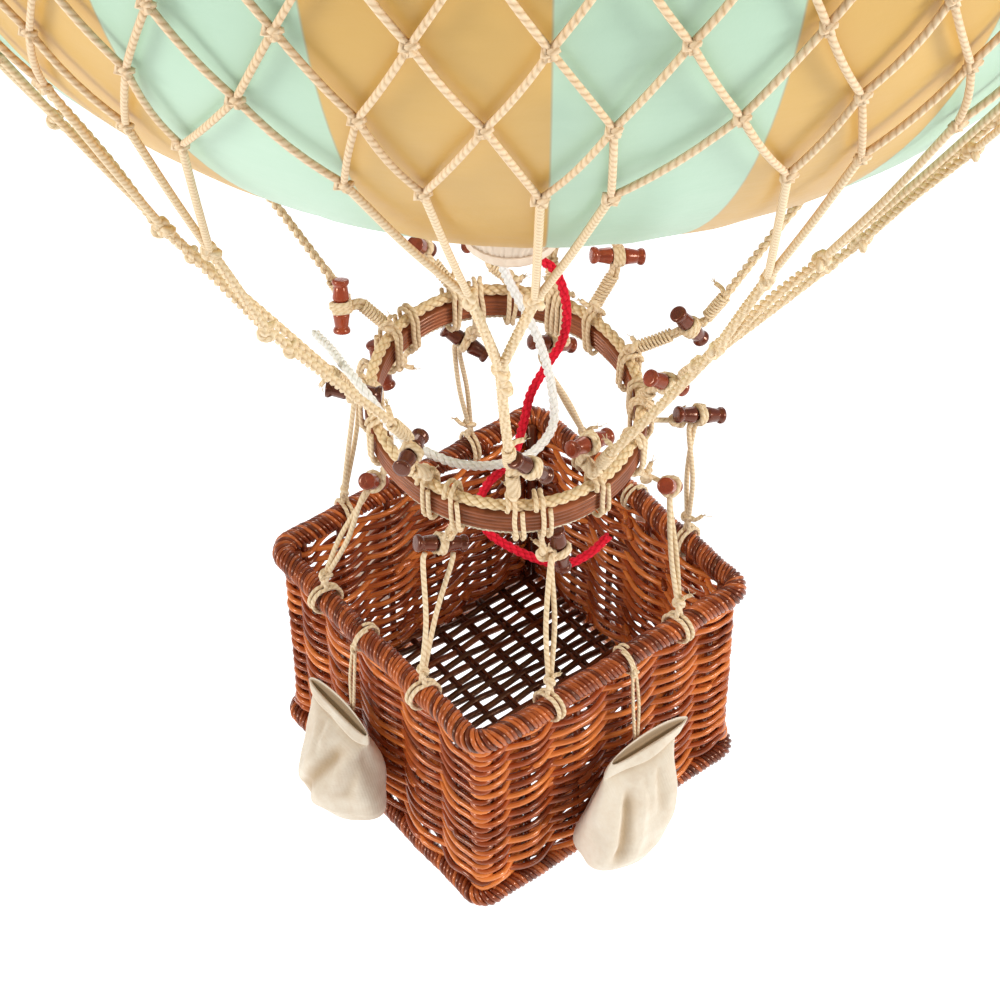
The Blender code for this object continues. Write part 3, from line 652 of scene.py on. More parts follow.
mesh = envelope.data
co = np.zeros(len(mesh.vertices) * 3)
mesh.vertices.foreach_get("co", co)
co = co.reshape(-1, 3)
first_seam = radians(FIRST_SEAM_DEG)
turned_x = co[:, 0] * cos(first_seam) - co[:, 1] * sin(first_seam)
turned_y = co[:, 0] * sin(first_seam) + co[:, 1] * cos(first_seam)
co[:, 0], co[:, 1] = turned_x, turned_y
gore = ((np.degrees(np.arctan2(co[:, 1], co[:, 0])) - FIRST_SEAM_DEG) / (360 / GORES)) % GORES
in_gore, own_gore = gore % 1, np.floor(gore).astype(int) % GORES
latitude = np.degrees(np.arctan2(co[:, 2] - ENVELOPE_CENTRE.z, np.hypot(co[:, 0], co[:, 1])))
from_seam = np.abs((gore + 0.5) % 1 - 0.5)
wrinkle = chance.normal(0, 1, (GORES, CREASE_WAVES))
crease = np.zeros(len(co))
for k in range(CREASE_WAVES):
    crease += wrinkle[own_gore, k] * np.sin(in_gore * pi * (k + 2) + latitude * 0.05 * (k - 2))
inwards = SEAM_DEPTH * np.exp(-((from_seam / SEAM_WIDTH) ** 2)) + CREASE_DEPTH * crease * np.sin(in_gore * pi)
inwards = np.clip(inwards, -0.0006, 0.0009)
shrink = 1 - inwards / np.maximum(np.hypot(co[:, 0], co[:, 1]), SMALLEST_REACH)
co[:, 0] *= shrink
co[:, 1] *= shrink
co += np.array([tuple(lean_neck(z)) for z in co[:, 2]])
mesh.vertices.foreach_set("co", co.ravel())
uv = mesh.uv_layers[0]
uv.name = "UVMap"
for polygon in mesh.polygons:
    around = [gore[i] for i in polygon.vertices]
    wraps = max(around) - min(around) > GORES / 2
    for corner, i in zip(polygon.loop_indices, polygon.vertices):
        u = gore[i] + (GORES if wraps and gore[i] < GORES / 2 else 0)
        uv.data[corner].uv = (u, latitude[i] / 90)
mesh.update()
mesh.shade_smooth()
print("relief from", round(float(inwards.min()) * 1000, 2), "to", round(float(inwards.max()) * 1000, 2), "mm")

# %% [markdown]
# The paper is satin, in mint and gold by turns, with a thin glue line at each seam. An image texture would need a
# drawing. Here the UV map's count of gores picks the colour, long noise along the gores makes the fine folds, and
# soft clouds keep both colours from being flat. The end of the neck is bound in cream cloth.

# %% Envelope paper
NECK_BINDING = 0.0135


def make_paper():
    made, wiring, shader = new_material("envelope_paper")
    gores = wiring.apart(wiring.uv())["X"]
    gold = wiring.maths("LESS_THAN", wiring.maths("FRACT", wiring.maths("MULTIPLY", gores, 0.5)), 0.5)
    from_middle = wiring.maths("ABSOLUTE", wiring.maths("SUBTRACT", wiring.maths("FRACT", gores), 0.5))
    from_seam = wiring.maths("SUBTRACT", 0.5, from_middle)
    off_seam = wiring.add("Math", {0: from_seam, 1: 130.0}, operation="MULTIPLY", use_clamp=True).outputs[0]
    where = wiring.own_place()
    cloud = wiring.noise(where, 14, 4.0, 0.55)
    grain = wiring.noise(where, 900, 3.0, 0.6)
    folds = wiring.noise(wiring.mapping(wiring.uv(), Scale=(2.2, 26.0, 1.0)), 1.0, 3.0, 0.5)
    mint = wiring.ramp(cloud, (0.30, (0.41, 0.60, 0.44)), (0.70, (0.48, 0.67, 0.51)))
    golden = wiring.ramp(cloud, (0.30, (0.58, 0.345, 0.080)), (0.70, (0.67, 0.42, 0.115)))
    colour = wiring.mix(gold, mint, golden)
    colour = wiring.mix(wiring.maths("SUBTRACT", 1.0, off_seam), colour, (0.45, 0.42, 0.24))
    bound = wiring.maths("LESS_THAN", wiring.apart(where)["Z"], NECK_Z + NECK_BINDING)
    wiring.feed(shader, {
        "Base Color": wiring.mix(bound, colour, (0.80, 0.66, 0.52)),
        "Normal": wiring.bump(wiring.total((folds, 0.6), (grain, 0.05)), 0.0011, 0.5),
        "Roughness": wiring.maths("ADD", 0.33, wiring.maths("MULTIPLY", cloud, 0.14)),
        "Specular IOR Level": 0.4,
    })
    return made


dress(envelope, make_paper(), replaces=["envelope"])
print("paper on", envelope.name)

# %% [markdown]
# The net is knotted from one thin cord, like a fishing net. Its knots sit in rows round the globe, each row half a
# step on from the last, and every knot is joined to the nearest ones below it. A texture could draw it, but real
# cords cast the small shadows that lift the net off the paper. The lowest row of 44 gathers by fours into the legs.

# %% Net rows
NET_COLUMNS = 44
COLUMN_DEG = 360 / NET_COLUMNS
NET_CORD_RADIUS = 0.00074
NET_REACH = ENVELOPE_RADIUS + 0.0018
NET_LOW_DEG = -31
FIRST_LEG_DEG = 195.0
LEG_COUNT = 11
KNOT_OFFSETS_DEG = (-10.8, -4.9, 3.6, 8.7)
ROW_A_DEG = 215.5
ROW_B_DEG = 211.4
FULL_ROWS, TOP_ROWS = 10, 4


def net_place(bearing_deg, elevation_deg, radius=NET_REACH):
    a, e = radians(bearing_deg), radians(elevation_deg)
    return ENVELOPE_CENTRE + Vector((radius * cos(e) * cos(a), radius * cos(e) * sin(a), radius * sin(e)))


def even_row(first_deg, step_deg, count):
    return [first_deg + step_deg * k for k in range(count)]


low_row = sorted(
    (FIRST_LEG_DEG + 360 / LEG_COUNT * leg + offset - ROW_B_DEG) % 360
    for leg in range(LEG_COUNT) for offset in KNOT_OFFSETS_DEG
)
net_rows = [
    (NET_LOW_DEG, [ROW_B_DEG + bearing for bearing in low_row]),
    (-22.0, even_row(ROW_B_DEG, COLUMN_DEG, NET_COLUMNS)),
]
for row in range(FULL_ROWS):
    shift = 0 if row % 2 == 0 else -COLUMN_DEG / 2
    net_rows.append((-14.5 + 7.5 * row, even_row(ROW_A_DEG + shift, COLUMN_DEG, NET_COLUMNS)))
# Near the crown the globe is too narrow for all the columns, so every second one ends
for row in range(TOP_ROWS):
    shift = COLUMN_DEG / 4 + (COLUMN_DEG if row % 2 else 0)
    net_rows.append((60.0 + 7.2 * row, even_row(ROW_A_DEG + shift, 2 * COLUMN_DEG, NET_COLUMNS // 2)))
print("net rows", len(net_rows), "knots", sum(len(bearings) for elevation, bearings in net_rows))

# %% [markdown]
# Each link of the net is a short cord that keeps its distance from the paper and wavers a little. Each knot is a
# small closed cord that crosses itself as an overhand knot does. A plain bead would be cheaper, but it looks like a
# bead. All the links share one object and all the knots another, and the crown's loop closes the net at the top.

# %% Net
KNOT_SIZE, KNOT_CORD_RADIUS = 0.00160, 0.00072
CROWN_RADIUS, CROWN_REACH = 0.0165, ENVELOPE_RADIUS + 0.0019


def knot_line(place, ahead, size):
    """A small closed line that crosses itself like an overhand knot, round a place on the globe."""
    out = (place - ENVELOPE_CENTRE).normalized()
    side = ahead.cross(out).normalized()
    up = out.cross(side)
    line = []
    for i in range(10):
        t = 2 * pi * i / 10
        sideways, upwards = (sin(t) + 2 * sin(2 * t)) * 0.30, (cos(t) - 2 * cos(2 * t)) * 0.34
        line.append(place + side * size * sideways + up * size * upwards - out * size * 0.34 * sin(3 * t))
    return line


def net_link(start, end):
    """A cord between two knots, which keeps its distance from the globe and wavers a little."""
    a, b = start - ENVELOPE_CENTRE, end - ENVELOPE_CENTRE
    drift = a.cross(b).normalized() * chance.normal(0, 0.00035)
    line = []
    for t in np.linspace(0, 1, 7):
        way = a.lerp(b, t).normalized()
        line.append(ENVELOPE_CENTRE + way * (NET_REACH + 0.0003 * sin(pi * t)) + drift * sin(pi * t))
    return line


def degrees_between(bearing, other):
    return abs((other - bearing + 180) % 360 - 180)


net, knots = Bundle(), Bundle()
for (low_deg, low), (high_deg, high) in zip(net_rows, net_rows[1:]):
    same_count = len(low) == len(high)
    for bearing in high:
        near = sorted(low, key=lambda other: degrees_between(bearing, other))[: 2 if same_count else 4]
        for other in near:
            if not same_count and degrees_between(bearing, other) > COLUMN_DEG:
                continue
            chance.normal(0, 0.15)  # not used, but it keeps every later draw the same
            net.cord(net_link(net_place(bearing, high_deg), net_place(other, low_deg)), NET_CORD_RADIUS, 6)
for elevation, bearings in net_rows:
    for bearing in bearings:
        size = KNOT_SIZE * chance.uniform(0.92, 1.12)
        line = knot_line(net_place(bearing, elevation, NET_REACH + 0.0004), Vector((0, 0, 1)), size)
        knots.cord(line, KNOT_CORD_RADIUS, 5, closed=True)


def crown_place(angle, height=0.0):
    z = ENVELOPE_CENTRE.z + sqrt(CROWN_REACH**2 - CROWN_RADIUS**2)
    return Vector((CROWN_RADIUS * cos(angle), CROWN_RADIUS * sin(angle), z + height))


top_deg, top_bearings = net_rows[-1]
for bearing in top_bearings:
    net.cord(net_link(net_place(bearing, top_deg), crown_place(radians(bearing), 0.0004)), NET_CORD_RADIUS, 6)
net.done("net_cords", CORD, slot="cord")
knots.done("net_knots", CORD, slot="cord")
crown_line = [crown_place(t) for t in np.linspace(0, 2 * pi, 72, endpoint=False)]
Bundle().rope(crown_line, 0.0016, 0.0075, 3, 6, closed=True).done(
    "crown_loop", LAID, slot="cord", replaces=["crown_rope"])
print("net links", len(net.places), "knots", len(knots.places))

# %% [markdown]
# The load ring is split rattan bound into a hoop, between a thick laid rope on its top edge and a thin one at its
# foot. Five flat canes lie one over the other, so the band's section has a groove between each two. The section is
# swept round once, where an array of five hoops would do the same in five objects. The ring hangs at a slant, so
# every place on it is given by a bearing, a distance and a height.

# %% Load ring
LOWER_AXIS = Vector((-0.0064, 0.0052, 0))
RING_Z = -0.4271
RING_SLOPE = (0.0494, 0.1792)
RING_RADIUS = 0.0353
TOP_ROPE_RADIUS, TOP_ROPE_LAY = 0.00125 * 1.2, 0.0088
FOOT_ROPE_RADIUS, FOOT_ROPE_LAY = 0.0008, 0.0042
FOOT_ROPE_HEIGHT = -0.00885
BAND_TOP, BAND_FOOT, BAND_HALF = -0.00175, -0.00755, 0.0018
CANES, GROOVE_DEPTH = 5, 0.00050


def ring_place(bearing_deg, distance=RING_RADIUS, height=0.0):
    a = radians(bearing_deg)
    x, y = distance * cos(a), distance * sin(a)
    return LOWER_AXIS + Vector((x, y, RING_Z + RING_SLOPE[0] * x + RING_SLOPE[1] * y + height))


def hoop(height, count):
    return [ring_place(360 * i / count, RING_RADIUS, height) for i in range(count)]


def band_section():
    """The canes' outline, down the outer face and up the inner one."""
    steps = np.linspace(0, 1, 6)
    section = []
    for face in (1, -1):
        for k in range(CANES):
            for t in steps[:-1] if k < CANES - 1 else steps:
                down = BAND_TOP - (k + t) * ((BAND_TOP - BAND_FOOT) / CANES)
                out_by = BAND_HALF - GROOVE_DEPTH * (1 - sin(pi * t) ** 0.35)
                section.append((face * out_by, down if face > 0 else BAND_TOP + BAND_FOOT - down))
    return np.array(section)


Bundle().rope(hoop(0.0, 540), TOP_ROPE_RADIUS, TOP_ROPE_LAY, 3, 8, closed=True).done(
    "ring_top_strands", LAID, slot="cord", replaces=["ring_top_rope"])
Bundle().rope(hoop(FOOT_ROPE_HEIGHT, 540), FOOT_ROPE_RADIUS, FOOT_ROPE_LAY, 3, 5, closed=True).done(
    "ring_foot_strands", PALE, slot="cord", replaces=["ring_foot_rope"])
line = np.array([tuple(place) for place in hoop(0.0, 180)])
out = line - np.array(tuple(LOWER_AXIS))
out[:, 2] = 0
out /= np.linalg.norm(out, axis=1)[:, None]
out += np.array([0, 0, 1]) * (out[:, :1] * RING_SLOPE[0] + out[:, 1:2] * RING_SLOPE[1])
up = np.broadcast_to((0.0, 0.0, 1.0), out.shape)
band = Bundle().sweep(line, band_section(), closed=True, sides=(out, up))
band.done("ring_canes", RATTAN, slot="rattan", replaces=["ring_band"])
print("ring", round(2 * RING_RADIUS, 4), "m across, of", CANES, "canes")

# %% [markdown]
# The wooden pins are turned on a lathe, with a waist for the cord. One is modelled, as a circle extruded ring by
# ring along the outline of a half pin and its mirror image. A screw modifier would spin the same outline. Every
# other pin is a copy of the pattern, laid in its own place with its own tint.

# %% Pin pattern
TOGGLE_LENGTH = 0.0146
TOGGLE_RADIUS = 0.0023
PIN_TIP_RADIUS = 0.0004
# From the tip to the waist: shares of the pin's radius and of its length
TOGGLE_OUTLINE = [
    (0.60, 0.500), (0.92, 0.494), (1.00, 0.475), (1.00, 0.435), (0.88, 0.400), (0.79, 0.380),
    (0.77, 0.368), (0.81, 0.355), (0.86, 0.290), (0.93, 0.220), (0.98, 0.165), (0.97, 0.140),
    (0.80, 0.112), (0.68, 0.095), (0.65, 0.070), (0.65, 0.000),
]
deselect()
tip = (0, 0, TOGGLE_LENGTH / 2)
bpy.ops.mesh.primitive_circle_add(vertices=24, radius=PIN_TIP_RADIUS, fill_type="NGON", location=tip)
pin = bpy.context.object
pin.name = "pin_pattern"
bpy.ops.object.transform_apply(location=True, rotation=True, scale=True)
bpy.ops.object.mode_set(mode="EDIT")
bpy.ops.mesh.select_all(action="SELECT")
outline = [(0.2, 0.500)] + TOGGLE_OUTLINE + [(r, -z) for r, z in TOGGLE_OUTLINE[-2::-1]] + [(0.2, -0.500)]
outline = [(share * TOGGLE_RADIUS, place * TOGGLE_LENGTH) for share, place in outline]
extrude_rings(outline, PIN_TIP_RADIUS, 0.5 * TOGGLE_LENGTH)
bpy.ops.mesh.select_all(action="SELECT")
bpy.ops.mesh.remove_doubles(threshold=0.000001)
bpy.ops.mesh.normals_make_consistent(inside=False)
bpy.ops.uv.cylinder_project(direction="ALIGN_TO_OBJECT", scale_to_bounds=False)
bpy.ops.object.mode_set(mode="OBJECT")
pin.data.uv_layers[0].name = "UVMap"
pin.data.shade_smooth()
print("pin pattern", len(pin.data.polygons), "faces")

# %% [markdown]
# Eleven pins hold the net's legs over the ring, and eight under it hold the basket's lines. Real ones hang as the
# cord lets them, each at its own slant, so their places and slants are read from the photo and can't be made by
# one rule. The pattern itself is removed at the end.

# %% Pins in place
# Each pin's bearing, distance and height on the ring, the bearing of its lashing, and the way it lies
UPPER_TOGGLES = [
    (155, 0.0400, 0.0080, 146, (0.74, -0.68, -0.09)), (201, 0.0455, 0.021, 198, (-0.83, -0.55, 0.08)),
    (240, 0.0425, 0.021, 235, (0.67, -0.06, -0.74)), (265, 0.0380, 0.019, 272, (0.94, 0.12, -0.31)),
    (316, 0.0415, 0.011, 318, (0.77, -0.06, -0.63)), (338, 0.0500, 0.012, 344, (0.54, -0.11, -0.83)),
    (8, 0.0425, 0.018, 11, (0.88, -0.41, -0.22)), (33, 0.0410, 0.0155, 31, (0.80, -0.55, -0.25)),
    (59, 0.0410, 0.009, 49, (0.87, -0.14, -0.47)), (82, 0.0445, 0.010, 76, (0.61, 0.40, -0.68)),
    (121, 0.0460, 0.0105, 113, (-0.24, -0.30, -0.92)),
]
# The same, and the side of the basket that its line goes to, with the half of that side
LOWER_TOGGLES = [
    (34, 0.0410, -0.0220, 26, (0.88, -0.19, -0.44), "right", 1),
    (68, 0.0410, -0.0235, 65, (0.49, -0.63, -0.49), "back", 1),
    (103, 0.0440, -0.0210, 100, (0.09, -0.28, -0.96), "back", -1),
    (153, 0.0360, -0.0260, 164, (0.61, 0.40, -0.68), "left", 1),
    (202, 0.0345, -0.0210, 210, (0.90, -0.27, -0.34), "left", -1),
    (255, 0.0345, -0.0190, 246, (0.12, -0.09, -0.99), "front", -1),
    (312, 0.0440, -0.0220, 300, (0.61, 0.40, -0.68), "front", 1),
    (330, 0.0520, -0.0120, 328, (0.90, -0.27, -0.34), "right", -1),
]


def pin_at(name, place, lie):
    """One more pin from the pattern, laid along a direction, with a tint of its own."""
    copy = pin.copy()
    copy.data = pin.data.copy()
    copy.name = name + "_turned"
    bpy.context.scene.collection.objects.link(copy)
    lie = Vector(lie).normalized()
    spin = Matrix.Rotation(chance.uniform(0, 6.28), 4, "Z")
    copy.data.transform(Matrix.Translation(place) @ lie.to_track_quat("Z", "X").to_matrix().to_4x4() @ spin)
    tint = copy.data.attributes.new("tint", "FLOAT", "POINT")
    tint.data.foreach_set("value", np.full(len(copy.data.vertices), chance.random()))
    return dress(copy, WOOD, replaces=[name])


for number, (bearing, distance, height, lashing_deg, lie) in enumerate(UPPER_TOGGLES, 1):
    pin_at(f"upper_toggle_{number:02d}", ring_place(bearing, distance, height), lie)
for number, (bearing, distance, height, lashing_deg, lie, side, half) in enumerate(LOWER_TOGGLES, 1):
    pin_at(f"lower_toggle_{number}", ring_place(bearing, distance, height), lie)
bpy.data.objects.remove(pin, do_unlink=True)
print("pins", len(UPPER_TOGGLES) + len(LOWER_TOGGLES))

# %% [markdown]
# Cord holds the pins and the ring in three ways: wound round a pin's waist, lashed round the whole ring, and tied in
# pairs between the two. Each could be a ring-shaped tube. Here each is one line that goes round several times, and
# chance moves its turns a little, as when they are wound by hand. Each way adds its strands to a bundle.

# %% Cord round pins and ring
GAP = 0.0003
FINE_STEP = 0.0007
WAIST_RADIUS = 0.0015
LOOP_RADIUS = 0.0009
WAIST_SPREAD = 0.00105
APPROACH, PIN_CLEARANCE = 0.0058, 0.0046
LASH_TURNS, LASH_PITCH_DEG, LASH_RADIUS, LASH_FOOT_REACH = 2, 2.7, 0.00064, 0.0022


def waist_way(place, axis, target):
    """Two points of a cord on its way in to a pin's waist, square to the pin, on the side that faces a target."""
    way = target - place
    way -= axis * way.dot(axis)
    distance = min(APPROACH, max(PIN_CLEARANCE, 0.7 * way.length))
    away = way.normalized()
    return [place + away * distance, place + away * (WAIST_RADIUS + GAP + LOOP_RADIUS)]


def waist_turns(bundle, place, axis, towards, turns=2.6):
    """Cord wound round a pin's waist, a little unevenly."""
    axis = axis.normalized()
    side = towards - place
    side = (side - axis * side.dot(axis)).normalized()
    other = axis.cross(side)
    line = []
    for t in np.linspace(0, 1, int(turns * 16)):
        angle = 2 * pi * turns * t
        reach = WAIST_RADIUS + 0.00085 + 0.00025 * sin(3.1 * angle + 1) * chance.uniform(0.6, 1)
        slide = axis * WAIST_SPREAD * (2 * t - 1) * 1.1
        line.append(place + side * cos(angle) * reach + other * sin(angle) * reach + slide)
    bundle.cord(line, 0.00078, 6)


def lashing_turns(bundle, bearing_deg):
    """Cord lashed round the whole ring: over its top rope, down the band and under its foot rope."""
    reach, foot = BAND_HALF + 0.00035 + LASH_RADIUS, LASH_FOOT_REACH
    course = [(reach * cos(i * pi / 6), 0.2 * reach + reach * sin(i * pi / 6) * 0.95) for i in range(7)]
    course += [(-reach * 1.03, -0.0035), (-reach, BAND_FOOT - 0.0004)]
    course += [(-foot * cos(i * pi / 4), FOOT_ROPE_HEIGHT - foot * sin(i * pi / 4) * 0.9) for i in range(5)]
    course += [(reach, BAND_FOOT - 0.0004), (reach * 1.03, -0.0035)]
    points = []
    steps = len(course)
    lean = chance.uniform(-0.6, 0.6)
    for i in range(LASH_TURNS * steps + 1):
        out_by, height = course[i % steps]
        t = i / steps - LASH_TURNS / 2
        wobble = chance.normal(0, 0.25)
        bearing = bearing_deg + t * LASH_PITCH_DEG + wobble + lean * height / 0.004
        points.append(ring_place(bearing, RING_RADIUS + out_by, height))
    bundle.cord(smooth_line(points, FINE_STEP), LASH_RADIUS, 6)


def tie_pair(bundle, anchor, tie, slip, anchor_slip, share, radius):
    """Two cords side by side from a lashing on the ring in to a pin's waist."""
    for sign in (-1, 1):
        aside = slip * sign
        line = [anchor + aside * anchor_slip, tie[0].lerp(anchor, share) + aside, tie[0] + aside, tie[1] + aside]
        bundle.cord(smooth_line(line, FINE_STEP), radius, 6)


print("a lashing goes", LASH_TURNS, "times round the ring, over", LASH_TURNS * LASH_PITCH_DEG, "degrees of it")

# %% [markdown]
# Cords meet in tight overhand knots, stems are whipped with thin cord, and cut ends fray. A knot that is really tied
# would need its two ends to join the cords. A closed line that crosses itself in the same way looks alike once it is
# drawn tight, and it can sit at any place of a cord. Chance turns each knot and spreads each frayed end.

# %% Knots, whippings and ends
KNOT_PLACES = 28
FRAYS = 5


def overhand(place, ahead, size):
    """The closed line of a tight overhand knot about a place, for a cord that goes ahead."""
    ahead = ahead.normalized()
    side = ahead.orthogonal().normalized()
    other = ahead.cross(side)
    spin = chance.uniform(0, 2 * pi)
    side, other = side * cos(spin) + other * sin(spin), other * cos(spin) - side * sin(spin)
    return [
        place + ahead * size * (cos(t) - 2 * cos(2 * t)) * 0.42 + side * size * (sin(t) + 2 * sin(2 * t)) * 0.34
        + other * size * 0.42 * sin(3 * t)
        for t in np.linspace(0, 2 * pi, KNOT_PLACES, endpoint=False)
    ]


def whipping(bundle, start, end, radius, turn_radius=0.00045):
    """Thin cord wound closely round a straight stretch of a stem."""
    way = end - start
    turns = way.length / (2.15 * turn_radius)
    line = [start.lerp(end, t) for t in np.linspace(0, 1, max(8, int(turns * 9)))]
    wound = coil(line, radius + turn_radius * 0.8, way.length / turns, chance.uniform(0, 6))
    bundle.cord(wound, turn_radius, 5)


def two_ply(bundle, line, radius):
    bundle.rope(smooth_line(line, FINE_STEP), radius * 1.12, 0.0052, 2, 6)


def loose_end(bundle, place, direction, length, radius=0.0007):
    """A cut end that sticks out of a knot and frays a little."""
    direction = direction.normalized()
    side = direction.orthogonal().normalized()
    line = [place, place + direction * length * 0.5 + side * length * 0.15, place + direction * length]
    bundle.cord(smooth_line(line, 0.0006), radius, 6)
    for k in range(FRAYS):
        aim = direction + Vector(chance.normal(0, 0.4, 3))
        fray = [line[-1], line[-1] + aim * length * chance.uniform(0.15, 0.4)]
        bundle.cord(fray, radius * 0.16, 4)


print("a knot goes through", KNOT_PLACES, "places, and a cut end frays into", FRAYS)

# %% [markdown]
# Each leg gathers four knots of the net's edge. Two cords meet in a knot, the two pairs meet in another, and a stem
# goes on to a pin over the ring, with a whipping of thin cord round it. A loop sits round the pin's waist, and a
# second, whipped stem ties it to the ring. One tapered tube would pass from afar, but the photo shows every knot.

# %% Net legs
LEG_KNOT_REACH, LEG_MIDDLE_REACH = 0.1619, 0.1613
PAIR_SHARE, GATHER_SHARE = 0.31, 0.56
WHIPPED_LENGTH = 0.0075
LASHING_TOP = BAND_HALF + GAP + 0.0008 + 0.0006
# Some legs bend aside, and two stems are moved near their gathering and near their pin, clear of what passes them
LEG_BENDS = {
    1: (-0.0039, 0.0013, -0.0015), 2: (-0.0050, 0.0031, -0.0009),
    4: (0, -0.0032, -0.0026), 5: (0.0002, -0.0028, -0.0022),
}
STEM_SHIFTS = {
    1: ((-0.0010, 0.0002, -0.0005), (-0.0019, 0.0003, -0.0009)), 3: ((-0.0027, 0.0021, 0), (-0.0047, 0.0037, 0.0010)),
}
NO_SHIFT = ((0, 0, 0), (0, 0, 0))
# Leg 11 comes in to its pin from this side
UPRIGHT_LEG, UPRIGHT_SIDE = 11, (0.75, 0.65, 0.0)
# Two pins hang beside their stem, which passes them on its way down to the ring: the stem's place beside the pin
PASSING = {3: Vector((-0.0041, 0.0032, 0.0035)), 4: Vector((0.0004, -0.0045, -0.0034))}

for number, (bearing, distance, height, lashing_deg, lie) in enumerate(UPPER_TOGGLES, 1):
    centre_deg = FIRST_LEG_DEG + 360 / LEG_COUNT * (number - 2)
    bend = Vector(LEG_BENDS.get(number, (0, 0, 0)))
    gather_shift, near_shift = [Vector(shift) for shift in STEM_SHIFTS.get(number, NO_SHIFT)]
    top, axis = ring_place(bearing, distance, height), Vector(lie).normalized()
    net_knots = [net_place(centre_deg + offset, NET_LOW_DEG, LEG_KNOT_REACH) for offset in KNOT_OFFSETS_DEG]
    middle = net_place(centre_deg, NET_LOW_DEG, LEG_MIDDLE_REACH)
    pairs = [((net_knots[k] + net_knots[k + 1]) / 2).lerp(top, PAIR_SHARE) for k in (0, 2)]
    pairs = [place.lerp(middle.lerp(top, PAIR_SHARE), 0.45) + bend * 0.8 for place in pairs]
    gather = middle.lerp(top, GATHER_SHARE) + bend + gather_shift
    near, waist = waist_way(top, axis, top + Vector(UPRIGHT_SIDE) if number == UPRIGHT_LEG else gather)
    near += near_shift
    made = Bundle()
    for i, knot in enumerate(net_knots):
        sag = Vector((0, 0, -chance.uniform(0.0004, 0.0012)))
        line = [knot, knot.lerp(pairs[i // 2], 0.5) + sag, pairs[i // 2]]
        made.cord(smooth_line(line, 0.0012), 0.00086, 6)
    for pair in pairs:
        two_ply(made, [pair, pair.lerp(gather, 0.5) + Vector(chance.normal(0, 0.0004, 3)), gather], 0.00104)
        made.cord(overhand(pair, gather - pair, 0.0017), 0.00088, 6, closed=True)
    made.cord(overhand(gather, near - gather, 0.0020), 0.00092, 6, closed=True)
    made.cord(overhand(gather.lerp(near, 0.16), near - gather, 0.0016), 0.00088, 6, closed=True)
    lashing_top = ring_place(lashing_deg, RING_RADIUS, LASHING_TOP)
    if number in PASSING:
        near, waist = top + PASSING[number], lashing_top
    two_ply(made, [gather, gather.lerp(near, 0.5) + Vector(chance.normal(0, 0.0004, 3)), near, waist], 0.00112)
    wound_to = near.lerp(gather, min(0.5, WHIPPED_LENGTH / (near - gather).length))
    whipping(made, wound_to, near.lerp(waist, 0.15), 0.00106)
    loose_end(made, wound_to, Vector(chance.normal(0, 1, 3)), 0.0045)
    waist_turns(made, top, axis, near)
    tie = waist_way(top, axis, lashing_top)
    tie_pair(made, lashing_top, tie, axis * 0.0007, 1.5, 0.5, 0.00082)
    whipping(made, lashing_top.lerp(tie[0], 0.15), tie[0].lerp(tie[1], 0.1), 0.00115)
    made.cord(overhand(lashing_top.lerp(tie[0], 0.08), tie[0] - lashing_top, 0.0017), 0.00085, 6, closed=True)
    upwards = Vector(chance.normal(0, 1, 3)) + Vector((0, 0, 0.8))
    loose_end(made, lashing_top.lerp(tie[0], 0.1), upwards, 0.0042)
    lashing_turns(made, lashing_deg)
    made.done(f"leg_cords_{number:02d}", TIED, slot="cord", replaces=[f"net_leg_{number:02d}"])
print("legs", len(UPPER_TOGGLES))

# %% [markdown]
# Eight lines carry the basket. Each is a doubled cord from a pin under the ring to a loop over the basket's rim, with
# a small knot above the rim. Straight tubes would look stiff. Here each cord goes through a middle place that chance
# moves a little, so that the two cords of a line part and meet again.

# %% Basket lines
RIM_Z, RIM_HALF, RIM_RADIUS = -0.4924, 0.0463, 0.0032
LINE_OFFSET = 0.0225
LINE_RADIUS = 0.00072
LINE_SPREADS = {5: 0.0022}
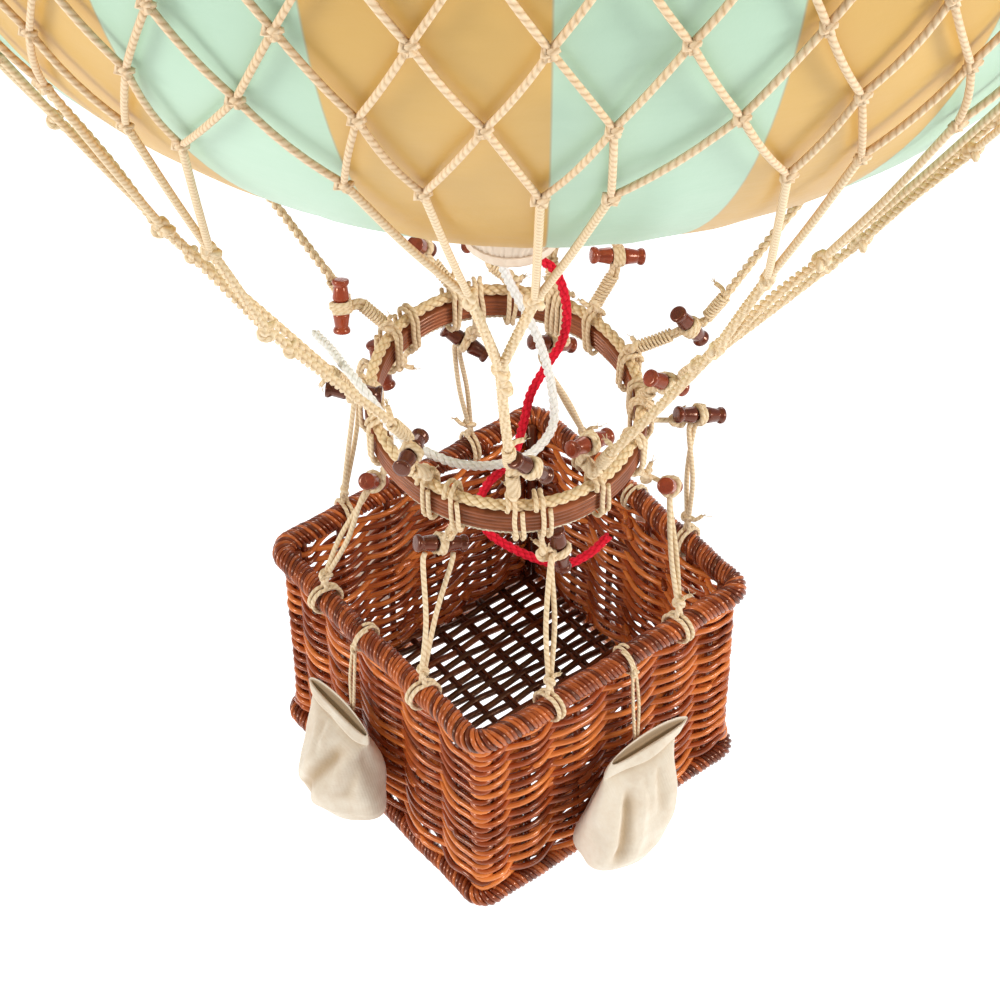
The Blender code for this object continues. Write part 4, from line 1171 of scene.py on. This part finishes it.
# Each side of the basket: the way out of it, and the way along it
SIDES = {
    "front": (Vector((0, -1, 0)), Vector((1, 0, 0))), "right": (Vector((1, 0, 0)), Vector((0, 1, 0))),
    "back": (Vector((0, 1, 0)), Vector((1, 0, 0))), "left": (Vector((-1, 0, 0)), Vector((0, 1, 0))),
}
for number, (bearing, distance, height, lashing_deg, lie, side, half) in enumerate(LOWER_TOGGLES, 1):
    place, axis = ring_place(bearing, distance, height), Vector(lie).normalized()
    normal, along = SIDES[side]
    rim = LOWER_AXIS + normal * RIM_HALF + along * half * LINE_OFFSET + Vector((0, 0, RIM_Z))
    reach = RIM_RADIUS + 0.00115
    rim_top = rim + Vector((0, 0, reach))
    near, waist = waist_way(place, axis, rim_top)
    made = Bundle()
    extra = LINE_SPREADS.get(number, 0.0)
    spread, pulled = along * 0.0011 + axis * extra, axis * (0.0008 + 1.5 * extra)
    low_knot = rim_top + Vector((0, 0, 0.0032)) + (near - rim_top).normalized() * 0.0012
    for shift in (-1, 1):
        mid = near.lerp(low_knot, 0.5) + spread * shift + Vector(chance.normal(0, 0.0003, 3))
        points = [waist + pulled * shift, near + pulled * shift, mid, low_knot + spread * 0.3 * shift]
        made.cord(smooth_line(points, 0.0012), LINE_RADIUS, 7)
        loop = []
        for t in np.linspace(0, 1, 17):
            angle = -pi * 0.5 + 2 * pi * t
            swing = Vector((0, 0, -sin(angle))) * reach + normal * cos(angle) * reach
            loop.append(rim + swing + along * (0.0008 * shift + 0.0007 * sin(2 * pi * t)))
        made.cord(smooth_line([low_knot] + loop + [low_knot], 0.0008), LINE_RADIUS * 0.85, 6)
    made.cord(overhand(low_knot, near - low_knot, 0.0015), 0.00072, 6, closed=True)
    outwards = normal * 0.4 + along * chance.uniform(-1, 1) + Vector((0, 0, 0.7))
    loose_end(made, low_knot, outwards, 0.0052, 0.0006)
    waist_turns(made, place, axis, near, 2.4)
    lashing_foot = ring_place(lashing_deg, RING_RADIUS, FOOT_ROPE_HEIGHT - 0.0021)
    tie = waist_way(place, axis, lashing_foot)
    tie_pair(made, lashing_foot, tie, axis * 0.0006, -1.0, 0.4, 0.00074)
    made.cord(overhand(tie[0].lerp(lashing_foot, 0.25), tie[0] - lashing_foot, 0.0018), 0.00078, 6, closed=True)
    loose_end(made, tie[0].lerp(lashing_foot, 0.3), Vector(chance.normal(0, 1, 3)), 0.0038)
    lashing_turns(made, lashing_deg)
    made.done(f"basket_cords_{number}", TIED, slot="cord", replaces=[f"basket_line_{number}"])
print("basket lines", len(LOWER_TOGGLES))

# %% [markdown]
# The basket is a rounded square, and everything in its wall follows that course. Its rim and foot rail are wrapped:
# several willow strands are wound side by side round a core. Each strand is cut into lengths with tints of their
# own, because a weaver joins in a new strand wherever one runs out. A twisted texture would lose that relief.

# %% Basket rim and foot rail
FOOT_Z, FOOT_HALF, FOOT_RADIUS = -0.5588, 0.0461, 0.0027
RAIL_POINTS = 1260


def square_course(half, corner, count):
    """Points round a rounded square about the basket's axis, from the front corner, with their outward ways."""
    straight = 2 * (half - corner)
    quarter = pi * corner / 2
    whole = 4 * (straight + quarter)
    places, outward = [], []
    for s in np.arange(count) * whole / count:
        s = (s - quarter / 2) % whole
        side, s = int(s // (straight + quarter)), s % (straight + quarter)
        turn = side * pi / 2
        if s < straight:
            x, y, angle = -half + corner + s, -half, -pi / 2
        else:
            angle = -pi / 2 + (s - straight) / corner
            x, y = half - corner + corner * cos(angle), -half + corner + corner * sin(angle)
        places.append((x * cos(turn) - y * sin(turn), x * sin(turn) + y * cos(turn), 0))
        outward.append((cos(angle + turn), sin(angle + turn), 0))
    return np.array(places) + np.array(tuple(LOWER_AXIS)), np.array(outward), whole


def slow_noise(count, waves, size):
    """A smooth closed wobble with the given number of bends."""
    t = np.arange(count) / count * 2 * pi
    total = np.zeros(count)
    for k in range(3):
        total += chance.normal(0, 1) * np.sin(t * (waves + 5 * k) + chance.uniform(0, 2 * pi))
    return total * size / 2


def wrapped_rail(name, half, corner, z, radius, starts, lay, strand, replaces):
    """A core with strands wound side by side round it, each in several lengths."""
    places, outward, whole = square_course(half, corner, RAIL_POINTS)
    places[:, 2] = z + slow_noise(RAIL_POINTS, 4, 0.00025)
    places += outward * slow_noise(RAIL_POINTS, 6, 0.00020)[:, None]
    made = Bundle()
    made.cord(places[::6], radius * 0.82, 10, closed=True, tint=0.0)
    for k in range(starts):
        reach = (radius - strand * 0.85) * (1 + slow_noise(RAIL_POINTS, 61 + k, 0.03))
        line = coil(places, reach, whole / round(whole / lay), 2 * pi * k / starts, closed=True)
        first = chance.integers(0, RAIL_POINTS)
        last = first + RAIL_POINTS
        while first < last:
            index = np.arange(first, min(last, first + chance.integers(30, 120)) + 3)
            made.cord(line[index % RAIL_POINTS], strand * chance.uniform(0.92, 1.08), 6)
            first = index[-1] - 2
    print(name, "in", len(made.places), "lengths")
    return made.done(name, WRAP, slot="wicker", replaces=replaces)


wrapped_rail("rim_wrap", RIM_HALF, 0.0055, RIM_Z, RIM_RADIUS, 6, 0.0078, 0.00068, ["basket_rim"])
wrapped_rail("foot_rail_wrap", FOOT_HALF, 0.0045, FOOT_Z, FOOT_RADIUS, 5, 0.0072, 0.00076, ["basket_foot_rail"])

# %% [markdown]
# The wall is woven of willow rods. They run round in level rows, and each row passes its stakes on the other side
# from the rows over and under it: a plain weave, so that one set of rows stands out where the other lies deep. At
# the corner posts all of them pass outside. A bump map can't show such deep rods, so every row is a strand of its
# own, in three lengths whose ends are tucked in. The last rows lift a little at the corners over the foot rail.

# %% Basket wall
WALL_HALF = 0.0450
ROWS, LIFTED_ROWS = 31, 3
WALL_POINTS = 420
WAVE_DEPTH = 0.0022
ROD_RADIUS = 0.00091
STAKE_RADIUS, POST_RADIUS = 0.0011, 0.0017
POST_WIDTH, POST_OFFSET = 0.0034, 0.0014
FULL_BAY = 0.0165
# Where the two sets of rows cross, as shares of each wall's length, on the way round from the front corner
CROSSINGS = [
    (0.092, 0.265, 0.478, 0.680, 0.855), (0.110, 0.300, 0.500, 0.690, 0.880),
    (0.100, 0.290, 0.510, 0.710, 0.890), (0.073, 0.214, 0.392, 0.621, 0.820),
]
places, outward, whole = square_course(WALL_HALF - 0.0006, 0.0036, WALL_POINTS)
along = np.arange(WALL_POINTS) / WALL_POINTS * 4
bounds = [wall + share for wall, shares in enumerate(CROSSINGS) for share in (0, *shares)] + [4]
wave, stake_places = np.zeros(WALL_POINTS), []
for bay, (start, end) in enumerate(zip(bounds, bounds[1:])):
    inside = (along >= start) & (along < end)
    size = min(1.1, (end - start) * whole / 4 / FULL_BAY) ** 0.6
    wave[inside] = (-1) ** bay * size * np.sin(pi * (along[inside] - start) / (end - start))
    stake_places.append(int((start + end) / 2 * WALL_POINTS / 4))
from_corner = np.abs((along + 0.5) % 1 - 0.5) * whole / 4
post = np.exp(-((from_corner / POST_WIDTH) ** 2))
by_post = np.exp(-(((from_corner - 0.004) / 0.005) ** 2))
rods, stakes = Bundle(), Bundle()
top_z, low_z = RIM_Z - 0.0038, FOOT_Z + 0.0026
row_z = [top_z + (low_z - top_z) * row / (ROWS - 1) + chance.normal(0, 0.00010) for row in range(ROWS)]
for row, z in enumerate(row_z):
    swing = (-1) ** row * WAVE_DEPTH * wave * (1 - 0.8 * post) * (1 + slow_noise(WALL_POINTS, 3, 0.08))
    swing += POST_OFFSET * post + slow_noise(WALL_POINTS, 17, 0.00012)
    lifted = max(0, (row - (ROWS - 1 - LIFTED_ROWS)) / LIFTED_ROWS)
    line = places + outward * (swing + 0.0008 * lifted)[:, None]
    line[:, 2] = z + slow_noise(WALL_POINTS, 11, 0.00020) + 0.0034 * lifted * by_post
    seams = np.sort(chance.integers(0, WALL_POINTS, 3))
    for first, last in zip(seams, list(seams[1:]) + [seams[0] + WALL_POINTS]):
        index = np.arange(first, last + 9)
        from_end = np.minimum(np.arange(len(index)), len(index) - 1 - np.arange(len(index)))
        tucked = 0.0016 * (1 - np.minimum(1, from_end / 6))
        part = line[index % WALL_POINTS] - outward[index % WALL_POINTS] * tucked[:, None]
        rods.cord(part, ROD_RADIUS * (1 + 0.12 * lifted) * chance.uniform(0.95, 1.05), 6)
low_end, high_end = np.array((0, 0, FOOT_Z)), np.array((0, 0, RIM_Z))
for i in stake_places:
    middle = (places[i] + low_end + (places[i] + high_end)) / 2 + chance.normal(0, 0.0002, 3)
    stake = smooth_line([places[i] + low_end, middle, places[i] + high_end], 0.004)
    stakes.cord(stake, STAKE_RADIUS, 7, tint=0.2)
for wall in range(4):
    i = wall * WALL_POINTS // 4
    corner = places[i] - outward[i] * 0.0012
    stakes.cord([corner + low_end, corner + high_end], POST_RADIUS, 8, tint=0.2)
rods.done("wall_rods", WILLOW, slot="wicker", replaces=["basket_wall"])
stakes.done("wall_stakes", WRAP, slot="wicker")
print("wall rows", ROWS, "stakes", len(stake_places))

# %% [markdown]
# The floor is a plain weave too: rods run across pairs of thin stakes, with long slots left open between them.
# Its willow is given a far darker colour than the wall's: the shade inside the basket, painted in. A plane with a
# cut-out texture would be flat at the rods' ends. Each rod here rides over one pair of stakes and under the next,
# sways a little, and keeps its own thickness.

# %% Basket floor
FLOOR_Z = FOOT_Z + 0.0040
FLOOR_HALF = WALL_HALF - 0.0020
FLOOR_STAKES = 10
FLOOR_PITCH = 2 * FLOOR_HALF / FLOOR_STAKES
ROD_PITCH = 0.0033
floor_rods = Bundle()
across, row = -FLOOR_HALF, 0
while across < FLOOR_HALF:
    x = np.linspace(-FLOOR_HALF, FLOOR_HALF, 90)
    sway = 0.00030 * np.sin(x * 70 + chance.uniform(0, 6)) + 0.00016 * np.sin(x * 300 + chance.uniform(0, 6))
    weave = 0.00035 * np.cos(pi * (x + FLOOR_HALF - FLOOR_PITCH / 2) / FLOOR_PITCH + pi * row)
    line = np.stack((x, across + sway, FLOOR_Z + weave), 1) + np.array(tuple(LOWER_AXIS))
    floor_rods.cord(line, chance.uniform(0.00104, 0.00118), 6)
    across += ROD_PITCH + chance.normal(0, 0.00018)
    row += 1
for k in range(FLOOR_STAKES):
    x = -FLOOR_HALF + (k + 0.5) * FLOOR_PITCH
    for shift in (-0.0007, 0.0007):
        middle = x + shift + chance.normal(0, 0.0002)
        line = [(middle + 0.0003 * sin(90 * y + k), y, FLOOR_Z) for y in np.linspace(-FLOOR_HALF, FLOOR_HALF, 25)]
        floor_rods.cord(np.array(line) + np.array(tuple(LOWER_AXIS)), 0.00078, 6)
floor_rods.done("floor_rods", FLOOR_WILLOW_SHADED, slot="wicker", replaces=["basket_floor"])
print("floor rods", row, "stakes", 2 * FLOOR_STAKES)

# %% [markdown]
# The sandbags are plain cotton canvas. A photo of cloth would be the short way. Two wave textures at right angles
# give the weave, finer noise gives the slubs, and each pouch's tint attribute says where it is hollow or lies
# inside: there a warmer, darker tone is mixed in as painted shade.

# %% Canvas
def make_canvas():
    made, wiring, shader = new_material("canvas")
    where = wiring.own_place()
    threads = []
    for turned in ((0.0, 0.0, 0.0), (0.0, 1.5708, 0.0)):
        values = {"Vector": wiring.mapping(where, Rotation=turned), "Scale": 420, "Distortion": 1.2, "Detail": 1.0}
        threads.append(wiring.add("TexWave", values, bands_direction="Z").outputs["Fac"])
    slub = wiring.noise(where, 420, 3.0, 0.6)
    soft = wiring.noise(where, 45, 3.0, 0.55)
    tone = wiring.total((slub, 0.35), (soft, 0.65))
    colour = wiring.ramp(tone, (0.30, (0.72, 0.58, 0.43)), (0.55, (0.83, 0.73, 0.59)), (0.75, (0.89, 0.81, 0.69)))
    height = wiring.total((wiring.maths("ADD", *threads), 0.16), (slub, 0.7))
    # The tint attribute mixes in a warm dark brown: painted shade in the folds, the hem's seam and the mouth
    wiring.feed(shader, {
        "Base Color": wiring.mix(wiring.tint(), colour, (0.42, 0.27, 0.13)),
        "Normal": wiring.bump(height, 0.00012, 0.8),
        "Roughness": 0.9,
        "Sheen Weight": 0.25,
        "Specular IOR Level": 0.2,
    })
    return made


CANVAS = make_canvas()
print("canvas nodes", len(CANVAS.node_tree.nodes))

# %% [markdown]
# Each sandbag is a pouch with a full foot and a hemmed mouth pressed almost flat. A cloth simulation could fill and
# fold it, but its folds are few and pressed. So its form is written down instead: how it hangs on its side of the
# basket, and how wide and deep it is at each share of its height.

# %% Sandbag outline
BAG_AROUND = 72
# Each sandbag's drop of its mouth, the places along the side of its twine, its mouth and its foot, and its height
SANDBAGS = {
    "front": (0.0265, 0.0035, 0.0066, -0.0082, 0.0330), "right": (0.0150, 0.0000, -0.0040, -0.0030, 0.0340),
    "back": (0.0190, 0.0010, 0.0030, 0.0010, 0.0340), "left": (0.0240, 0.0035, 0.0070, -0.0010, 0.0300),
}
# The pouch's outline: shares of its height, with its half width and half depth there
BAG_SECTIONS = [
    (0.000, 0.0137, 0.0016), (0.025, 0.0141, 0.0019), (0.090, 0.0138, 0.0026), (0.115, 0.0130, 0.0023),
    (0.135, 0.0128, 0.0026), (0.180, 0.0126, 0.0040), (0.260, 0.0124, 0.0058), (0.420, 0.0136, 0.0084),
    (0.620, 0.0145, 0.0106), (0.800, 0.0142, 0.0110), (0.900, 0.0132, 0.0100), (0.960, 0.0116, 0.0082),
    (1.000, 0.0088, 0.0056),
]
print("a pouch is", round(2000 * max(width for share, width, depth in BAG_SECTIONS), 1), "mm wide")

# %% [markdown]
# Canvas creases where the sand pulls it. They could be sculpted by hand. Here each fold is a valley with two low
# banks along a line on the outer face, so that it can be moved until it lies as in the photo. The hem's seam is one
# more shallow groove, all the way round.

# %% Sandbag folds
HEM_GROOVE, HEM_SHARE, HEM_WIDTH = 0.0009, 0.125, 0.014
FOLD_SPAN = 0.0136
# Each fold runs over the outer face: from a place across and a share of the height to another, with depth and width
FOLDS = {
    "left": [
        (-0.50, 0.20, 0.46, 0.88, 0.0022, 0.0022), (-0.86, 0.24, -0.80, 0.62, 0.0011, 0.0014),
        (0.30, 0.16, 0.10, 0.34, 0.0009, 0.0012),
    ],
    "front": [
        (-0.46, 0.26, -0.62, 0.80, 0.0024, 0.0019), (0.20, 0.18, 0.35, 0.50, 0.0009, 0.0016),
        (-0.10, 0.18, -0.02, 0.40, 0.0008, 0.0012),
    ],
    "right": [(0.00, 0.25, 0.45, 0.85, 0.0020, 0.0020), (-0.55, 0.18, -0.60, 0.60, 0.0010, 0.0013)],
    "back": [(0.10, 0.22, -0.40, 0.82, 0.0020, 0.0020), (0.55, 0.18, 0.65, 0.60, 0.0010, 0.0013)],
}


def fold_press(folds, across, share, height):
    """How far the folds and the hem's seam press one ring of the pouch in."""
    press = np.zeros(BAG_AROUND)
    for u0, t0, u1, t1, depth, width in folds:
        start = np.array((u0 * FOLD_SPAN, t0 * height))
        run = np.array((u1 * FOLD_SPAN, t1 * height)) - start
        here = np.stack((across, np.full(BAG_AROUND, share * height)), 1) - start
        t = here @ run / (run @ run)
        off = (here[:, 0] * run[1] - here[:, 1] * run[0]) / np.linalg.norm(run)
        fade = np.clip(np.minimum(t + 0.08, 1.08 - t) * 4, 0, 1)
        valley = np.exp(-((off / width) ** 2))
        banks = np.exp(-(((np.abs(off) - 2.1 * width) / width) ** 2))
        press += depth * fade * (valley - 0.42 * banks)
    return press + HEM_GROOVE * np.exp(-(((share - HEM_SHARE) / HEM_WIDTH) ** 2))


print("folds", {side: len(folds) for side, folds in FOLDS.items()})

# %% [markdown]
# The canvas goes up the outside, over the lip and a little way down inside, in rings that stand closer where it
# bends most. Each ring gets its width and depth, a ripple that chance turns for each pouch, the folds, and near the
# top the lean that lifts the back lip. A tint for each vertex holds painted shade: in the folds and the hem's seam
# by how deep they press, and strongest inside the mouth.

# %% Sandbag shape
WALL_CLEARANCE = 0.0028
OUTER_SHARES = np.concatenate((np.linspace(1, 0.9, 5), np.linspace(0.87, 0.19, 30), np.linspace(0.17, 0, 15)))
INNER_SHARES = np.array([0.004, 0.03, 0.06, 0.10])
BACK_REACH = 0.0108


def pouch_shape(side):
    """Every vertex's place, ring by ring, and how hollow or shaded the canvas is there."""
    drop, twine_shift, mouth_shift, foot_shift, height = SANDBAGS[side]
    normal, along = SIDES[side]
    level = LOWER_AXIS + normal * (WALL_HALF + WALL_CLEARANCE) + Vector((0, 0, RIM_Z - drop))
    angle = np.arange(BAG_AROUND) * 2 * pi / BAG_AROUND
    facing = np.clip(np.sin(angle) * 1.6, 0, 1)
    swirl = chance.uniform(0, 2 * pi, 4)
    shares, widths, depths = zip(*BAG_SECTIONS)
    co, painted_shade = [], []
    for ring, share in enumerate(np.concatenate((OUTER_SHARES, INNER_SHARES))):
        inside = ring >= len(OUTER_SHARES)
        width, depth = np.interp(share, shares, widths), np.interp(share, shares, depths)
        if inside:
            width, depth = width - 0.0006, max(0.0007, depth - 0.0008)
        shift = mouth_shift + (foot_shift - mouth_shift) * share ** 0.65
        outward = BACK_REACH - (BACK_REACH - depth) * 0.4
        across, away = np.cos(angle) * width, np.sin(angle) * depth
        ripple = 0.0007 * np.sin(3 * angle + swirl[0] + 5 * share) + 0.0005 * np.sin(5 * angle + swirl[1] - 7 * share)
        ripple = ripple * min(1, share / 0.2) * (0.3 if inside else 1)
        press = np.zeros(BAG_AROUND) if inside else fold_press(FOLDS[side], across, share, height)
        # Painted shade: deeper where the folds and the hem's seam press the outer face in, and strongest inside
        shaded = np.full(BAG_AROUND, 0.85) if inside and share > 0.01 else np.clip(press * facing / 0.0030, 0, 0.75)
        painted_shade.append(shaded)
        away = away + ripple * np.sin(angle) - press * facing
        across = across + ripple * np.cos(angle)
        lean = 0.0013 * max(0, 1 - share / 0.20) * -np.sin(angle)
        droop = 0.0012 * (np.cos(angle) ** 2) * (share < 0.2) * (1 - share / 0.2)
        for a, d, up in zip(across, away, lean - droop):
            place = level + along * (shift + a) + normal * (outward + d)
            co.append(tuple(place + Vector((0, 0, -height * share + up))))
    return np.array(co), np.concatenate(painted_shade)


print("pouch rings", len(OUTER_SHARES) + len(INNER_SHARES), "of", BAG_AROUND, "vertices")

# %% [markdown]
# A circle is extruded once for each ring, which joins all the faces by itself, and the vertices are then moved to
# their places. Writing the faces out would give the same mesh. Subdivision rounds it. A real pouch is filled with
# sand.


def pouch(side):
    """Extrudes one pouch, shapes its rings, and hangs it on its own body."""
    deselect()
    bpy.ops.mesh.primitive_circle_add(vertices=BAG_AROUND, radius=0.004, fill_type="NGON")
    piece = bpy.context.object
    piece.name = f"sandbag_{side}_canvas"
    bpy.ops.object.mode_set(mode="EDIT")
    bpy.ops.mesh.select_all(action="SELECT")
    for ring in range(len(OUTER_SHARES) + len(INNER_SHARES) - 1):
        bpy.ops.mesh.extrude_region_move(TRANSFORM_OT_translate={"value": (0, 0, 0.001)})
    bpy.ops.object.mode_set(mode="OBJECT")
    co, painted_shade = pouch_shape(side)
    piece.data.vertices.foreach_set("co", co.ravel())
    piece.data.attributes.new("tint", "FLOAT", "POINT").data.foreach_set("value", painted_shade)
    piece.data.update()
    bpy.ops.object.mode_set(mode="EDIT")
    bpy.ops.mesh.select_all(action="SELECT")
    bpy.ops.mesh.normals_make_consistent(inside=False)
    bpy.ops.object.mode_set(mode="OBJECT")
    piece.location = (0, 0, 0)
    soften = piece.modifiers.new("Soften", "SUBSURF")
    soften.levels = soften.render_levels = 1
    bpy.ops.object.modifier_apply(modifier="Soften")
    piece.data.shade_smooth()
    dress(piece, CANVAS, body=f"sandbag_{side}_hung", replaces=[f"sandbag_{side}"])
    return piece


# %% [markdown]
# Each pouch hangs on its twine, which goes twice round the rim, down the wall and through the hem's end, with a
# small knot where the turns meet. It turns with its pouch about the rim, so it rides on the pouch's body. Each
# pouch and its twine are made together.

# %% Sandbags and twine
TWINE_RADIUS = 0.00046
TWINE_TURNS = 2


def twine_of(side):
    """The twine that carries a pouch: twice round the rim, down the wall, and through the hem's end."""
    drop, twine_shift, mouth_shift, foot_shift, height = SANDBAGS[side]
    normal, along = SIDES[side]
    rim = LOWER_AXIS + normal * RIM_HALF + along * twine_shift + Vector((0, 0, RIM_Z))
    reach = RIM_RADIUS + 0.0007
    made = Bundle()
    line = []
    for t in np.linspace(0, 1, TWINE_TURNS * 16 + 1):
        turn = -pi / 2 + 2 * pi * TWINE_TURNS * t
        slide = along * (0.0022 * (t - 0.5) + 0.0003 * sin(9 * t))
        line.append(rim + Vector((0, 0, -sin(turn))) * reach + normal * cos(turn) * reach + slide)
    made.cord(smooth_line(line, FINE_STEP), TWINE_RADIUS, 6)
    level = LOWER_AXIS + normal * (WALL_HALF + WALL_CLEARANCE) + Vector((0, 0, RIM_Z - drop))
    hem = level + along * (mouth_shift + 0.9 * (twine_shift - mouth_shift)) + normal * 0.0042 - Vector((0, 0, 0.0016))
    start = rim + normal * reach
    for shift in (-0.0005, 0.0005):
        bowed = start.lerp(hem, 0.5) + along * (shift * 2) + normal * 0.0004
        made.cord(smooth_line([start + along * shift, bowed, hem + along * shift], 0.001), TWINE_RADIUS, 6)
    knot = start + normal * 0.0004 - Vector((0, 0, 0.0016))
    made.cord(overhand(knot, hem - start, 0.0010), 0.00050, 6, closed=True)
    return made.done(
        f"sandbag_{side}_twine", TIED, body=f"sandbag_{side}_hung", slot="cord", replaces=[f"sandbag_tie_{side}"])


for side in SANDBAGS:
    pouch(side)
    twine_of(side)
print("sandbags", len(SANDBAGS))

# %% [markdown]
# The brass eye and the lacquered button at the crown and the cloth plug in the neck are plain, smooth shapes. They
# could be modelled again, but the frame's own solids already show them, so these keep their shape and only get
# finer materials: uneven brass, soft cloth and dark lacquer.

# %% Fittings
brass, wiring, shader = new_material("brass_satin")
uneven = wiring.noise(wiring.own_place(), 300, 3.0)
wiring.feed(shader, {
    "Base Color": (0.62, 0.42, 0.15), "Metallic": 1.0,
    "Roughness": wiring.maths("ADD", 0.20, wiring.maths("MULTIPLY", uneven, 0.2)),
})
cloth, wiring, shader = new_material("cream_cloth")
soft = wiring.noise(wiring.own_place(), 260, 3.0)
wiring.feed(shader, {
    "Base Color": wiring.ramp(soft, (0.3, (0.74, 0.58, 0.44)), (0.7, (0.86, 0.73, 0.59))), "Roughness": 0.8,
})
lacquer, wiring, shader = new_material("button_lacquer")
grain = wiring.noise(wiring.own_place(), 120, 4.0)
wiring.feed(shader, {
    "Base Color": wiring.ramp(grain, (0.3, (0.06, 0.010, 0.006)), (0.7, (0.18, 0.035, 0.018))), "Roughness": 0.25,
})
for name, look in (("neck_cap", cloth), ("crown_button", lacquer), ("hanging_eye", brass)):
    for slot in nodes[name].material_slots:
        slot.material = look
    print(name, "now", look.name)

# %% [markdown]
